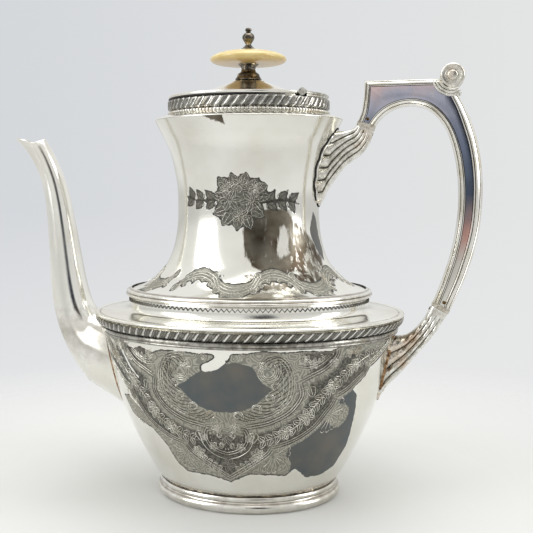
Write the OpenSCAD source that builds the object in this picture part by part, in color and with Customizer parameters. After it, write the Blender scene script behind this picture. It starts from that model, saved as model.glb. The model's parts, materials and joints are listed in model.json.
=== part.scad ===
// Oval coffee pot in plated metal: soldered vessel, hinged lid with a button finial,
// swan-neck spout and a hollow handle held off the vessel by two pinned insulators.
// Units are millimetres. +Z is up, +X points to the handle, and the origin is the
// centre of the foot's rest face.

/* [Vessel] */
// Depth of every oval as a share of its width
oval = 0.86; // [0.84:0.01:0.88]
// Thickness of the vessel's sheet metal
wall = 1.2; // [1.1:0.05:1.3]
// Half width of the foot at its widest bead
foot_half = 52.2; // [52:0.1:52.4]
// Half width of the shoulder at the gadroon border
shoulder_half = 86.6; // [86.4:0.1:86.8]

/* [Lid] */
// Distance of the hinge pin from the vessel's axis
hinge_x = 33; // [32.5:0.1:33.5]
// Height of the hinge pin above the rest face
hinge_z = 221.3; // [221.2:0.05:221.4]
// Gap between the closed lid and the rim
lid_gap = 0.9; // [0.7:0.1:1]
// Depth to which the lid's bezel reaches into the mouth
bezel_depth = 3.5; // [2:0.5:4]

/* [Finial] */
// Radius of the finial's button
button_r = 21; // [19:0.5:22]
// Radius of the stud that holds the finial
stud_r = 1.2; // [1.1:0.05:1.25]

/* [Handle] */
// Width of the handle across its beaded edges
handle_w = 12; // [11.6:0.1:12.4]
// Thickness of each insulator between the metal ends
insulator_t = 2.4; // [2:0.1:2.8]

/* [Spout] */
// Radius of the holes that strain the coffee
strainer_r = 1.5; // [1:0.1:1.7]

/* [Hidden] */
$fn = 96;

silver = "silver";
bright = "gainsboro";
aged = "dimgray";
ivory = "khaki";

// Clearance left between soldered faces that are curved
seam = 0.05;
// Heights of the vessel's levels
foot_top_z = 9.6;
wire_z = 92;
gadroon_z = 95.6;
shoulder_z = 101.6;
riser_top_z = 111;
neck_base_z = 115.3;
neck_top_z = 208;
rim_z = 211.2;
rim_gadroon_z = 213.3;
rim_top_z = 219;
lid_z = rim_top_z + lid_gap;
boss_z = 230;
button_z = 239;
button_top_z = 246.4;

// Outline of the lower body from the foot to the shoulder: half width, height
body_points = [[49.9, foot_top_z], [53.4, 14.4], [57.8, 22.2], [62.6, 31.6], [67.4, 42], [71.6, 52.2],
    [75, 63], [77.9, 75], [80.2, 86], [81.4, wire_z], [82, 96.4], [82.4, shoulder_z - wall]];

// Outline of the neck from its base to its flared top: half width, height
neck_points = [[65.6, neck_base_z], [60, 117.1], [54.4, 120.3], [49.4, 124.8], [45.2, 130.6],
    [42, 138.4], [40, 149], [39.4, 161], [40, 174], [43.4, 190], [48, 200], [52, neck_top_z]];

// Joint planes of the handle in the XZ plane: centre, direction up the handle, half width
upper_joint = [64.9, 204.6];
upper_way = unit([0.30, 0.954]);
upper_half = 4.7;
lower_joint = [106, 107];
lower_way = unit([0.464, 0.886]);
lower_half = 4.9;
joint_lift = insulator_t / 2 + seam;

// A point on a joint's edge, moved up the handle by lift
function joint_edge(c, way, across, lift) = c + left_of(way) * across + way * lift;

// Outer edge of the grip from the upper joint over the thumb rest to the lower joint
grip_back = [joint_edge(upper_joint, upper_way, upper_half, joint_lift), [62.6, 212], [63.5, 218],
    [64.1, 228.2]];
grip_top = [[101, 228.6], [108, 227.6]];
grip_outer = [[112, 221.5], [116.6, 213.5], [121.2, 202.6], [124.4, 190.7], [126.2, 177],
    [126.4, 164], [125.3, 149.6], [122.4, 136], [118.3, 123], [114.3, 113.4],
    joint_edge(lower_joint, lower_way, -lower_half, joint_lift)];
// Inner edge of the grip from the lower joint back to the upper joint
grip_inner = [joint_edge(lower_joint, lower_way, lower_half, joint_lift), [106.5, 122.2],
    [110.4, 135], [113, 148], [114.2, 162], [113.8, 175.5], [111.9, 188], [108.7, 198.7],
    [104.3, 206.6], [98.4, 212.2], [91.8, 214.6], [84.9, 214.6], [78.1, 212.4], [73, 208.6],
    joint_edge(upper_joint, upper_way, -upper_half, joint_lift)];
scroll_centre = [109.8, 230];
scroll_r = 6.4;

// Upper socket: its edges from the joint to the neck, above and below
upper_socket_outline = concat([joint_edge(upper_joint, upper_way, upper_half, -joint_lift),
    [58, 203.3], [55.6, 202.5], [51.5, 202.1], [40, 202.1], [30, 164]],
    smooth([[41.2, 163.4], [43.6, 168.6], [47, 173.8], [52.8, 181.4], [57.6, 185.6],
    [62.6, 189.2], [66.8, 194.8], joint_edge(upper_joint, upper_way, -upper_half, -joint_lift)], 2));
// Half depth of the upper socket in plan: X, half depth
upper_socket_plan = [[36, 8.6], [46, 7.8], [58, 5.6], [72, 5.1]];

// Lower socket: its edges from the joint to the body, above and below
lower_socket_outline = concat(smooth([joint_edge(lower_joint, lower_way, lower_half, -joint_lift),
    [97.4, 101], [92.4, 94.8], [87.6, 91.4], [82.2, 90.6]], 2), [[70, 90.6], [66, 55]],
    smooth([[73.2, 55.2], [77.8, 62.6], [85.9, 71.4], [95.1, 82.4], [103, 92.5],
    joint_edge(lower_joint, lower_way, -lower_half, -joint_lift)], 2));
// Half depth of the lower socket in plan: X, half depth
lower_socket_plan = [[64, 8.4], [82, 8.4], [94, 6], [112, 5.1]];

// ---- Functions ----

function unit(v) = v / norm(v);
function left_of(v) = [-v[1], v[0]];

// Smooth curve through the points, with n steps between each pair
function smooth(p, n) = [
    for (i = [0 : len(p) - 2], k = [0 : n - 1]) let (
        a = p[max(i - 1, 0)], b = p[i], c = p[i + 1], d = p[min(i + 2, len(p) - 1)], t = k / n)
        0.5 * (2 * b + (c - a) * t + (2 * a - 5 * b + 4 * c - d) * t * t
            + (3 * b - a - 3 * c + d) * t * t * t),
    p[len(p) - 1]];

// The points moved by d to the left of the way they run
function beside(p, d) = [for (i = [0 : len(p) - 1]) let (
    way = unit(p[min(i + 1, len(p) - 1)] - p[max(i - 1, 0)])) p[i] + d * left_of(way)];

function reversed(p) = [for (i = [len(p) - 1 : -1 : 0]) p[i]];

// Closed outline of a sheet of thickness t along the points, on their left, with level ends
function sheet(p, t) = let (n = len(p) - 1, first = unit(p[1] - p[0]), last = unit(p[n] - p[n - 1]),
    b = beside(p, t))
    concat(p, [for (i = [n : -1 : 0]) i == n ? p[n] - [t / last[1], 0]
        : i == 0 && first[1] > 0.5 ? p[0] - [t / first[1], 0] : b[i]]);

// Points of an arc
function arc(c, r, from, to, n) = [for (i = [0 : n]) let (a = from + (to - from) * i / n)
    c + r * [cos(a), sin(a)]];

// Half width of a smooth profile at height z
function half_at(p, z) = lookup(z, [for (q = p) [q[1], q[0]]]);

neck_outline = smooth(neck_points, 2);
body_outline = smooth(body_points, 2);

// Half width of the lower body's outside at height z
function body_half(z) = half_at(body_outline, z);

// ---- Shared modules ----

// A profile of half widths and heights, turned and drawn in to the oval
module turned_oval(profile) {
    for (turn = [0, 180]) scale([1, oval, 1]) rotate([0, 0, turn]) rotate_extrude(angle = 180)
        polygon(profile);
}

// A slab of the XZ plane's outline between two Y values
module slab(outline, y0, y1) {
    translate([0, y1, 0]) rotate([90, 0, 0]) linear_extrude(y1 - y0) polygon(outline);
}

// A rod along Y
module rod_y(x, z, r, y0, y1) {
    translate([x, y1, z]) rotate([90, 0, 0]) cylinder(r = r, h = y1 - y0, $fn = 40);
}

// Loops of equal length joined into a closed loft; every loop is an outer run of points
// followed by the same number of points back along the inside
module shell_loft(loops) {
    n = len(loops[0]);
    m = len(loops);
    sides = [for (j = [0 : m - 2], i = [0 : n - 1]) let (k = (i + 1) % n, a = j * n, b = a + n)
        each [[a + k, a + i, b + k], [a + i, b + i, b + k]]];
    ends = [for (i = [0 : n / 2 - 2]) let (k = n - 1 - i, b = (m - 1) * n)
        each [[i, i + 1, k], [i + 1, k - 1, k], [b + i + 1, b + i, b + k], [b + k - 1, b + i + 1, b + k]]];
    polyhedron([for (l = loops) each l], concat(sides, ends));
}

// ---- Vessel ----

module foot_rim() {
    color(silver) turned_oval(concat(
        [[foot_half - 4.4, 0], [foot_half - 1.6, 0]],
        arc([foot_half - 2.6, 3], 2.6, -60, 62, 6),
        arc([foot_half - 3.3, 7.4], 1.8, -50, 70, 5),
        [[foot_half - 2.3, foot_top_z], [foot_half - 5, foot_top_z]]));
}

module base_plate() {
    color(silver) turned_oval([[0, foot_top_z + 2.2], [30, foot_top_z + 1.8],
        [46.4, foot_top_z], [48, foot_top_z], [48.4, foot_top_z + wall],
        [46.6, foot_top_z + wall], [30, foot_top_z + 1.8 + wall], [0, foot_top_z + 2.2 + wall]]);
}

strainer_pitch = 5.2;
strainer_centre_z = 72;

// Rows of holes behind the spout, closer at the bottom where the spout narrows
module strainer_holes() {
    row_counts = [2, 3, 4, 5, 4, 3, 2];
    for (row = [0 : len(row_counts) - 1], k = [0 : row_counts[row] - 1])
        translate([-100, (k - (row_counts[row] - 1) / 2) * strainer_pitch,
            strainer_centre_z + (row - 3) * strainer_pitch * 0.9])
            rotate([0, 90, 0]) cylinder(r = strainer_r, h = 40, $fn = 24);
}

module lower_body() {
    color(bright) difference() {
        turned_oval(sheet(body_outline, wall));
        strainer_holes();
    }
}

module shoulder_wire() {
    color(aged) turned_oval([[body_half(wire_z) + seam, wire_z], [82.8, wire_z + 0.3],
        [83.5, wire_z + 1.6], [83.6, wire_z + 2.6], [83.2, gadroon_z - 0.1],
        [body_half(gadroon_z) + seam, gadroon_z - 0.1]]);
}

module shoulder_gadroon() {
    top_z = shoulder_z - wall;
    color(silver) turned_oval(concat([[body_half(gadroon_z) + seam, gadroon_z]],
        arc([shoulder_half - 5.2, gadroon_z + 5.3], 5.2, -70, -4, 6),
        [[shoulder_half - 0.1, top_z], [body_half(top_z) + seam, top_z]]));
}

// Outside of the shoulder from its edge bead to the top of its riser
shoulder_outline = concat(
    [[shoulder_half - 1, shoulder_z - 0.2], [shoulder_half, shoulder_z + 0.3],
    [shoulder_half + 0.1, shoulder_z + 1], [shoulder_half - 0.9, shoulder_z + 1.7],
    [84.3, shoulder_z + 1.5], [83.7, shoulder_z + 1.1], [83.1, shoulder_z + 1.6]],
    smooth([[76, 103.3], [70, 104], [67.6, 105.4], [66.9, 108], [66.9, riser_top_z]], 3));

module shoulder_plate() {
    under = concat([[body_half(shoulder_z) - 0.2, shoulder_z - wall]],
        [for (p = smooth([[76, 103.3], [70, 104], [67.6, 105.4], [66.9, 108], [66.9, riser_top_z]], 3))
            p - [wall, wall * (riser_top_z - p[1]) / 7]]);
    color(bright) turned_oval(concat([[shoulder_half - 1.6, shoulder_z - wall + seam]],
        shoulder_outline, reversed(under)));
}

module neck_collar() {
    color(silver) turned_oval(concat([[66, riser_top_z + seam]],
        arc([68, 112.7], 1.8, -80, 62, 7), arc([66.9, 115.2], 1.3, -20, 100, 6),
        [[65.9, neck_base_z + 0.9], [65.9, neck_base_z - 1]]));
}

module neck() {
    color(bright) turned_oval(sheet(neck_outline, wall));
}

module neck_flange() {
    color(bright) turned_oval([[41.9, rim_z - 1], [43, rim_z - 1], [48.4, neck_top_z + seam],
        [52.3, neck_top_z + seam], [52.2, neck_top_z + 0.5], [44.9, rim_z - 0.4], [44.6, rim_z],
        [41.9, rim_z]]);
}

module rim_moulding() {
    color(silver) turned_oval(concat([[41.9, rim_z], [44.5, rim_z]],
        arc([44.4, rim_z + 0.7], 0.7, -80, 60, 4),
        [[43.9, rim_gadroon_z - 0.5], [43.6, rim_gadroon_z], [41.9, rim_gadroon_z]]));
}

module rim_gadroon() {
    mid_z = (rim_gadroon_z + rim_top_z) / 2;
    color(silver) turned_oval([[41.9, rim_gadroon_z], [43.9, rim_gadroon_z], [44.4, rim_gadroon_z + 0.9],
        [44.7, mid_z], [44.4, rim_top_z - 0.9], [43.9, rim_top_z], [41.9, rim_top_z]]);
}

module mouth_sleeve() {
    color(bright) turned_oval([[40.9, rim_z - 2.2], [41.8, rim_z - 2.2], [41.8, rim_top_z],
        [40.9, rim_top_z]]);
}

// ---- Hinge ----

knuckle_r = 2;
knuckle_gap = 0.3;
knuckle_pitch = 9.4;
pin_r = 0.8;

// Lids rim outline, shared by the lid and the fixed plate
lid_edge = [[43.9, lid_z], [44.3, lid_z + 0.4], [44.3, lid_z + 1.1], [43.8, lid_z + 1.6]];

// Barrel section number k of five, with a web that reaches side metal at x1
module knuckle(k, x1, bore) {
    y0 = (k - 2.5) * knuckle_pitch + knuckle_gap / 2;
    y1 = (k - 1.5) * knuckle_pitch - knuckle_gap / 2;
    difference() {
        union() {
            rod_y(hinge_x, hinge_z, knuckle_r, y0, y1);
            translate([min(x1, hinge_x), y0, hinge_z - 0.9])
                cube([abs(x1 - hinge_x), y1 - y0, 1.4]);
        }
        rod_y(hinge_x, hinge_z, bore, y0 - 1, y1 + 1);
    }
}

module hinge_plate() {
    color(silver) intersection() {
        turned_oval(concat([[0, rim_top_z], [43.9, rim_top_z]],
            [for (p = lid_edge) p], [[0, lid_z + 1.6]]));
        translate([hinge_x + 2.4, -40, rim_top_z - 1]) cube([20, 80, 5]);
    }
}

module fixed_knuckles() {
    color(silver) for (k = [0, 2, 4]) knuckle(k, hinge_x + 2.4, pin_r + 0.01);
}

module hinge_pin() {
    color(silver) rod_y(hinge_x, hinge_z, pin_r, -2.5 * knuckle_pitch, 2.5 * knuckle_pitch);
}

module lid_knuckles() {
    color(silver) for (k = [1, 3]) knuckle(k, hinge_x - 2.4, pin_r + 0.07);
}

// ---- Lid ----

dome_points = [[38, 221.7], [30, 222.4], [24.5, 223.7], [20, 225.3], [15, 227.3], [11.6, 228.6],
    [8.9, boss_z - 0.3], [5, boss_z]];
dome = smooth(dome_points, 2);

module before_hinge() {
    translate([-60, -60, 210]) cube([60 + hinge_x - 2.4, 120, 30]);
}

module lid_shell() {
    inside = beside(dome, 1.1);
    color(bright) difference() {
        intersection() {
            turned_oval(concat([[39.4, lid_z]], lid_edge, [[40.5, 221.6]], dome,
                [[0, boss_z], [0, boss_z - 1.1]], reversed(inside)));
            before_hinge();
        }
        translate([0, 0, boss_z - 5]) cylinder(r = stud_r + 0.1, h = 10, $fn = 40);
    }
}

module lid_bezel() {
    color(silver) intersection() {
        turned_oval([[39.5, lid_z - bezel_depth], [40.3, lid_z - bezel_depth], [40.3, lid_z],
            [39.5, lid_z]]);
        translate([-60, -60, 200]) cube([60 + hinge_x - 3.6, 120, 40]);
    }
}

// ---- Finial ----

module turned(profile) {
    rotate_extrude($fn = 64) polygon(profile);
}

module finial_stem() {
    bore = stud_r + 0.1;
    color(aged) turned(concat([[bore, boss_z], [6.6, boss_z], [7.4, boss_z + 0.5], [7.3, boss_z + 1.1]],
        smooth([[6.4, 232.2], [5.9, 233.6], [4.4, 234.7], [3.9, 236.2], [4.3, 237.6], [5.4, 238.6]], 3),
        [[5.6, button_z], [bore, button_z]]));
}

module finial_button() {
    bore = stud_r + 0.1;
    edge_z = button_z + 2.3;
    color(ivory) turned(concat([[bore, button_z], [button_r - 7, button_z], [button_r - 2.6, button_z + 0.5]],
        smooth([[button_r - 0.8, button_z + 1.2], [button_r, edge_z], [button_r - 0.6, edge_z + 1.4],
            [button_r - 3.4, edge_z + 3], [button_r - 8, edge_z + 4.2], [9, button_top_z - 0.3],
            [5, button_top_z]], 3),
        [[bore, button_top_z]]));
}

module finial_cap() {
    color(aged) difference() {
        turned(concat([[0, button_top_z], [4.8, button_top_z]],
            smooth([[4.6, 247], [3, 248.1], [1.7, 249.4], [1.7, 250.2], [2.6, 251.6], [3.3, 253],
                [3.35, 254], [2.8, 255.2], [1.5, 256.2], [1.2, 256.6], [1.8, 257.4], [1.6, 258.2]], 2),
            [[0.9, 258.7], [0, 258.8]]));
        translate([0, 0, button_top_z - 1]) cylinder(r = stud_r + 0.04, h = 5.2, $fn = 40);
    }
}

nut_t = 2.4;
washer_t = 0.8;

module finial_stud() {
    color(silver) translate([0, 0, boss_z - 1.1 - washer_t - nut_t - 1])
        cylinder(r = stud_r, h = button_top_z + 4 - (boss_z - 1.1 - washer_t - nut_t - 1), $fn = 40);
}

module finial_nut() {
    color("darkgoldenrod") translate([0, 0, boss_z - 1.1 - washer_t - nut_t]) difference() {
        cylinder(r = 3.3, h = nut_t, $fn = 6);
        translate([0, 0, -1]) cylinder(r = stud_r + 0.04, h = nut_t + 2, $fn = 40);
    }
}

module finial_washer() {
    color(silver) translate([0, 0, boss_z - 1.1 - washer_t]) difference() {
        cylinder(r = 4.6, h = washer_t, $fn = 48);
        translate([0, 0, -1]) cylinder(r = stud_r + 0.1, h = washer_t + 2, $fn = 40);
    }
}

// ---- Spout ----

// Stations up the spout: X and Z of the outer edge, X and Z of the inner edge, half depth
spout_stations = [
    [-93, 58.6, -87.6, 98.6, 16.4],
    [-101.6, 69.4, -89, 99.4, 14.2],
    [-109, 82, -91, 101.8, 12.4],
    [-114.4, 97, -93.8, 107, 11],
    [-116.9, 114, -96.6, 117.2, 9.9],
    [-117.7, 131.8, -99.4, 131.6, 8.9],
    [-118.6, 148.4, -102.2, 147.6, 8],
    [-119.8, 163, -105.4, 163.6, 7.2],
    [-122, 174.6, -109, 176.6, 6.5],
    [-125.6, 183.6, -113.6, 187.6, 6.1],
    [-131, 192.4, -118, 195.8, 5.8],
    [-138.7, 200.2, -120.2, 199.6, 5.5]];
spout_wall = 1.1;

// Where the spout lands on the body: lowest and highest point, half depth
spout_foot = [44, 98];
spout_foot_half = 19;
// Half width that the landing clears: the body, then the wire and the gadroons above it
function landing_half(z) = z < wire_z - 0.5 ? body_half(z) + 0.15
    : lookup(z, [[wire_z - 0.5, body_half(wire_z) + 0.15], [wire_z + 0.6, 84.1], [95.8, 84.3], [98.6, 86.3]]);

function landing(y, z) = let (a = landing_half(z)) [-a * sqrt(1 - pow(y / (oval * a), 2)), y, z];

// Point at angle t round a superellipse, as shares of its half axes
function round_share(t, power) = [sign(cos(t)) * pow(abs(cos(t)), 2 / power),
    sign(sin(t)) * pow(abs(sin(t)), 2 / power)];

spout_n = 14;

// Half a ring of the spout at a station, from its outer edge to its inner edge
function spout_run(s, inset) = let (a = [s[0], s[1]], b = [s[2], s[3]], way = unit(b - a),
    c = (a + b) / 2, h = norm(b - a) / 2 - inset)
    [for (i = [0 : spout_n]) let (u = round_share(180 * i / spout_n, 2.15))
        [c[0] - u[0] * h * way[0], 0.02 + u[1] * (s[4] - inset), c[1] - u[0] * h * way[1]]];

function landing_run(inset) = let (c = (spout_foot[0] + spout_foot[1]) / 2,
    h = (spout_foot[1] - spout_foot[0]) / 2 - inset)
    [for (i = [0 : spout_n]) let (t = 180 * i / spout_n)
        landing(0.02 + sin(t) * (spout_foot_half - inset), c - cos(t) * h)];

module spout_half() {
    stations = smooth(spout_stations, 3);
    shell_loft(concat([concat(landing_run(0), reversed(landing_run(spout_wall * 1.6)))],
        [for (s = stations) concat(spout_run(s, 0), reversed(spout_run(s, spout_wall)))]));
}

module spout_near_half() {
    color(bright) mirror([0, 1, 0]) spout_half();
}

module spout_far_half() {
    color(bright) spout_half();
}

// ---- Handle ----

panel_w = handle_w - 1.8;
bead_w = 2.4;
cavity_w = panel_w - 3.2;
grip_wall = 1.7;
tenon = [5.2, 5.6, 7];
fit = 0.06;
cross_pin_r = 0.9;
pin_fit = 0.02;
pin_step = 3.4;

grip_left = smooth(grip_back, 2);
grip_right = smooth(grip_outer, 3);
grip_under = smooth(grip_inner, 3);
grip_outline = concat(grip_left, grip_top, grip_right, grip_under);

// The run of points t inside the grip's outline, carried on past both joints
function inside_grip(t) = concat(
    [joint_edge(upper_joint, upper_way, upper_half - t, -2)],
    [for (p = beside(grip_left, -t)) [p[0], min(p[1], 228.2 - t)]],
    [[102, 228.6 - t], [107, 222]],
    beside([for (i = [1 : len(grip_right) - 1]) grip_right[i]], -t),
    [joint_edge(lower_joint, lower_way, t - lower_half, -2),
    joint_edge(lower_joint, lower_way, lower_half - t, -2)],
    beside(grip_under, -t),
    [joint_edge(upper_joint, upper_way, t - upper_half, -2)]);

// Places a child at a joint, with its Z axis up the handle
module at_joint(centre, way) {
    translate([centre[0], 0, centre[1]]) rotate([0, atan2(way[0], way[1]), 0]) children();
}

// A pin through the whole depth of the handle, on side s of the joint
module cross_pin(s, r) {
    translate([0, 0, s * pin_step]) rotate([90, 0, 0])
        cylinder(r = r, h = panel_w + 0.4, center = true, $fn = 32);
}

// Short pins sit between the cross pin and the edge that faces the fingers
module short_pin(s, way_out, half, r) {
    translate([way_out > 0 ? 1.4 : -1.4 - (half - 1.2), 0, s * pin_step]) rotate([0, 90, 0])
        cylinder(r = r, h = half - 1.2, $fn = 32);
}

module joint_pins(way_out, half, sides, r) {
    for (s = sides) {
        cross_pin(s, r);
        short_pin(s, way_out, half, r);
    }
}

module upper_joint_pins(sides, r) {
    at_joint(upper_joint, upper_way) joint_pins(1, upper_half, sides, r);
}

module lower_joint_pins(sides, r) {
    at_joint(lower_joint, lower_way) joint_pins(-1, lower_half, sides, r);
}

// Half of the hollow grip: a panel with a raised bead along each edge
module grip_half() {
    half = handle_w / 2;
    difference() {
        slab(grip_outline, 0.02, half);
        slab(inside_grip(bead_w), panel_w / 2, half + 1);
        slab(inside_grip(grip_wall), -1, cavity_w / 2);
        rod_y(scroll_centre[0], scroll_centre[1], scroll_r + seam, -1, half + 1);
        upper_joint_pins([1], cross_pin_r + pin_fit);
        lower_joint_pins([1], cross_pin_r + pin_fit);
    }
}

module grip_near_half() {
    color(silver) mirror([0, 1, 0]) grip_half();
}

module grip_far_half() {
    color(silver) grip_half();
}

// The rolled end of the thumb rest
module thumb_scroll() {
    color(silver) {
        rod_y(scroll_centre[0], scroll_centre[1], scroll_r, -handle_w / 2 - 0.5, handle_w / 2 + 0.5);
        rod_y(scroll_centre[0], scroll_centre[1], scroll_r * 0.4, -handle_w / 2 - 1.3, handle_w / 2 + 1.3);
    }
}

// A flange with a tenon on each side that the pins pass into
module insulator(width) {
    translate([-width / 2, -panel_w / 2, -insulator_t / 2])
        cube([width, panel_w, insulator_t]);
    translate([-tenon[0] / 2, -tenon[1] / 2, -insulator_t / 2 - tenon[2]])
        cube([tenon[0], tenon[1], insulator_t + 2 * tenon[2]]);
}

module upper_insulator() {
    color(ivory) difference() {
        at_joint(upper_joint, upper_way) insulator(2 * upper_half);
        upper_joint_pins([-1, 1], cross_pin_r + pin_fit);
    }
}

module lower_insulator() {
    color(ivory) difference() {
        at_joint(lower_joint, lower_way) insulator(2 * lower_half);
        lower_joint_pins([-1, 1], cross_pin_r + pin_fit);
    }
}

module upper_pins() {
    color("darkgoldenrod") upper_joint_pins([-1, 1], cross_pin_r);
}

module lower_pins() {
    color("darkgoldenrod") lower_joint_pins([-1, 1], cross_pin_r);
}

// Room for a tenon on the lower side of a joint
module tenon_pocket() {
    translate([-tenon[0] / 2 - fit, -tenon[1] / 2 - fit, -insulator_t / 2 - tenon[2] - 0.3])
        cube([tenon[0] + 2 * fit, tenon[1] + 2 * fit, tenon[2] + insulator_t]);
}

// A socket's outline with the depth that its plan gives it
module socket_block(outline, plan) {
    intersection() {
        slab(outline, -12, 12);
        linear_extrude(250) polygon(concat(plan, reversed([for (p = plan) [p[0], -p[1]]])));
    }
}

module upper_socket() {
    color(silver) difference() {
        socket_block(upper_socket_outline, upper_socket_plan);
        turned_oval(concat([[0, 150]], [for (p = neck_outline) if (p[1] > 140 && p[1] < 207) p + [seam, 0]],
            [[0, 206]]));
        at_joint(upper_joint, upper_way) tenon_pocket();
        upper_joint_pins([-1], cross_pin_r + pin_fit);
    }
}

module lower_socket() {
    color(silver) difference() {
        socket_block(lower_socket_outline, lower_socket_plan);
        turned_oval(concat([[0, 40]], [for (p = body_outline) if (p[1] > 30) p + [seam, 0]],
            [[0, shoulder_z - wall]]));
        at_joint(lower_joint, lower_way) tenon_pocket();
        lower_joint_pins([-1], cross_pin_r + pin_fit);
    }
}

foot_rim();
base_plate();
lower_body();
shoulder_wire();
shoulder_gadroon();
shoulder_plate();
neck_collar();
neck();
neck_flange();
rim_moulding();
rim_gadroon();
mouth_sleeve();
hinge_plate();
fixed_knuckles();
hinge_pin();
spout_near_half();
spout_far_half();
upper_socket();
upper_insulator();
upper_pins();
grip_near_half();
grip_far_half();
thumb_scroll();
lower_insulator();
lower_pins();
lower_socket();
lid_shell();
lid_bezel();
lid_knuckles();
finial_stem();
finial_button();
finial_cap();
finial_stud();
finial_nut();
finial_washer();
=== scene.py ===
"""Oval silver-plated coffee pot with an engraved panel, gadroon borders and a hinged lid."""
import bpy
import bmesh
import json
import numpy as np
from math import atan2, ceil, cos, degrees, hypot, pi, radians, sin, sqrt
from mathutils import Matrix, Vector

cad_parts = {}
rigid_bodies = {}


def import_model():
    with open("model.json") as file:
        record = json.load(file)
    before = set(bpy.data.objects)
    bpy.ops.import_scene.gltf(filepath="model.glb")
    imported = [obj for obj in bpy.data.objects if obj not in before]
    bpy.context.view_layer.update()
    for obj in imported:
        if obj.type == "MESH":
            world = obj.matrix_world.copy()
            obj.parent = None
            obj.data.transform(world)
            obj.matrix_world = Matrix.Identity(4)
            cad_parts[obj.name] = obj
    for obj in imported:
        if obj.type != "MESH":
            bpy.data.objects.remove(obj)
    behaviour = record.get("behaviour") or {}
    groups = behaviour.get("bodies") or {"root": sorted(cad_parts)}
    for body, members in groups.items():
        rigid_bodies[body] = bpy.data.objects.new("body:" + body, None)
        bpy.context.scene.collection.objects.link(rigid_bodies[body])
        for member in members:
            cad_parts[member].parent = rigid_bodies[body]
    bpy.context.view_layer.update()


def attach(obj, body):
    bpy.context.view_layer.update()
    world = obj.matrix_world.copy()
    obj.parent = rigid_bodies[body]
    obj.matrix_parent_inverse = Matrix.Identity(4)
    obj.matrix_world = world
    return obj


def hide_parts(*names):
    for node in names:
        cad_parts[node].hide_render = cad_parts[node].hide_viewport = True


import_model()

MM = 0.001
OVAL = 0.86            # short half width over long half width of everything on the vessel
WALL = 1.2             # thickness of the vessel's sheets in millimetres
DEG_MM = 1.31          # surface millimetres per degree round the body, for laying out engraving


# ---------------------------------------------------------------- materials

def tone(code):
    """sRGB hex to linear colour."""
    channels = [int(code[i:i + 2], 16) / 255 for i in (1, 3, 5)]
    return tuple(c / 12.92 if c <= 0.04045 else ((c + 0.055) / 1.055) ** 2.4 for c in channels) + (1.0,)


def add(tree, kind, inputs=(), out=0, stops=(), **settings):
    """Adds one shader node and gives back one of its outputs.

    inputs is a list in the order of the sockets, or a dictionary by their names or numbers. Each is
    another node's output, a plain value or an sRGB hex colour. stops belong to a colour ramp."""
    node = tree.nodes.new("ShaderNode" + kind)
    for key, value in settings.items():
        setattr(node, key, value)
    for key, value in inputs.items() if isinstance(inputs, dict) else enumerate(inputs):
        if isinstance(value, bpy.types.NodeSocket):
            tree.links.new(value, node.inputs[key])
        else:
            node.inputs[key].default_value = tone(value) if isinstance(value, str) else value
    while stops and len(node.color_ramp.elements) < len(stops):
        node.color_ramp.elements.new(0.5)
    for k, (at, colour) in enumerate(stops):
        node.color_ramp.elements[k].position = at
        node.color_ramp.elements[k].color = tone(colour)
    return node.outputs[out] if node.outputs else node


def fresh_material(name):
    """A new material, its empty node tree and its object coordinates in millimetres."""
    mat = bpy.data.materials.new(name)
    mat.use_nodes = True
    tree = mat.node_tree
    tree.nodes.clear()
    place = add(tree, "TexCoord", out="Object")
    return mat, tree, add(tree, "VectorMath", [place, (1000, 1000, 1000)], operation="MULTIPLY")


def polished_plate(name):
    """Electroplated silver, buffed: mirror-like, with a warm haze, hairlines and brown specks."""
    mat, tree, place = fresh_material(name)
    haze = add(tree, "TexNoise", {"Vector": place, "Scale": 1 / 38, "Detail": 4, "Roughness": 0.55})
    wipe = add(tree, "TexNoise", {"Vector": place, "Scale": 1 / 5, "Detail": 3, "Roughness": 0.6})
    fleck = add(tree, "TexNoise", {"Vector": place, "Scale": 1 / 2.2, "Detail": 5, "Roughness": 0.7})
    area = add(tree, "TexNoise", {"Vector": place, "Scale": 1 / 30, "Detail": 2})
    dull = add(tree, "MapRange", [haze, 0.42, 0.68])
    colour = add(tree, "Mix", {0: dull, 6: "#F3F2EC", 7: "#E2DFD4"}, 2, data_type="RGBA")
    fleck = add(tree, "MapRange", [fleck, 0.70, 0.78])
    area = add(tree, "MapRange", [area, 0.56, 0.7])
    specks = add(tree, "Math", [fleck, area], operation="MULTIPLY")
    colour = add(tree, "Mix", {0: specks, 6: colour, 7: "#B79A78"}, 2, data_type="RGBA")
    # this layer darkens the plate towards brown: painted shade on the foot and collar, most in their creases,
    # and a painted darker reflection low on the spout
    stain_and_shade = add(tree, "Attribute", out="Fac", attribute_name="stain_and_shade")
    uneven = add(tree, "MapRange", [wipe, 0.3, 0.7, -0.12, 0.12])
    stain_and_shade = add(tree, "Math", [stain_and_shade, uneven], operation="ADD")
    stain_and_shade = add(tree, "MapRange", [stain_and_shade, 0.12, 1.0])
    colour = add(tree, "Mix", {0: stain_and_shade, 6: colour, 7: "#7A6C5E"}, 2, data_type="RGBA")
    rough = add(tree, "MapRange", [haze, 0.3, 0.75, 0.10, 0.24])
    hairlines = add(tree, "Bump", {"Height": wipe, "Distance": 0.01 * MM, "Strength": 0.35})
    shader = add(tree, "BsdfPrincipled", {"Base Color": colour, "Metallic": 1.0, "Roughness": rough,
                                          "Normal": hairlines})
    add(tree, "OutputMaterial", [shader])
    return mat


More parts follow.
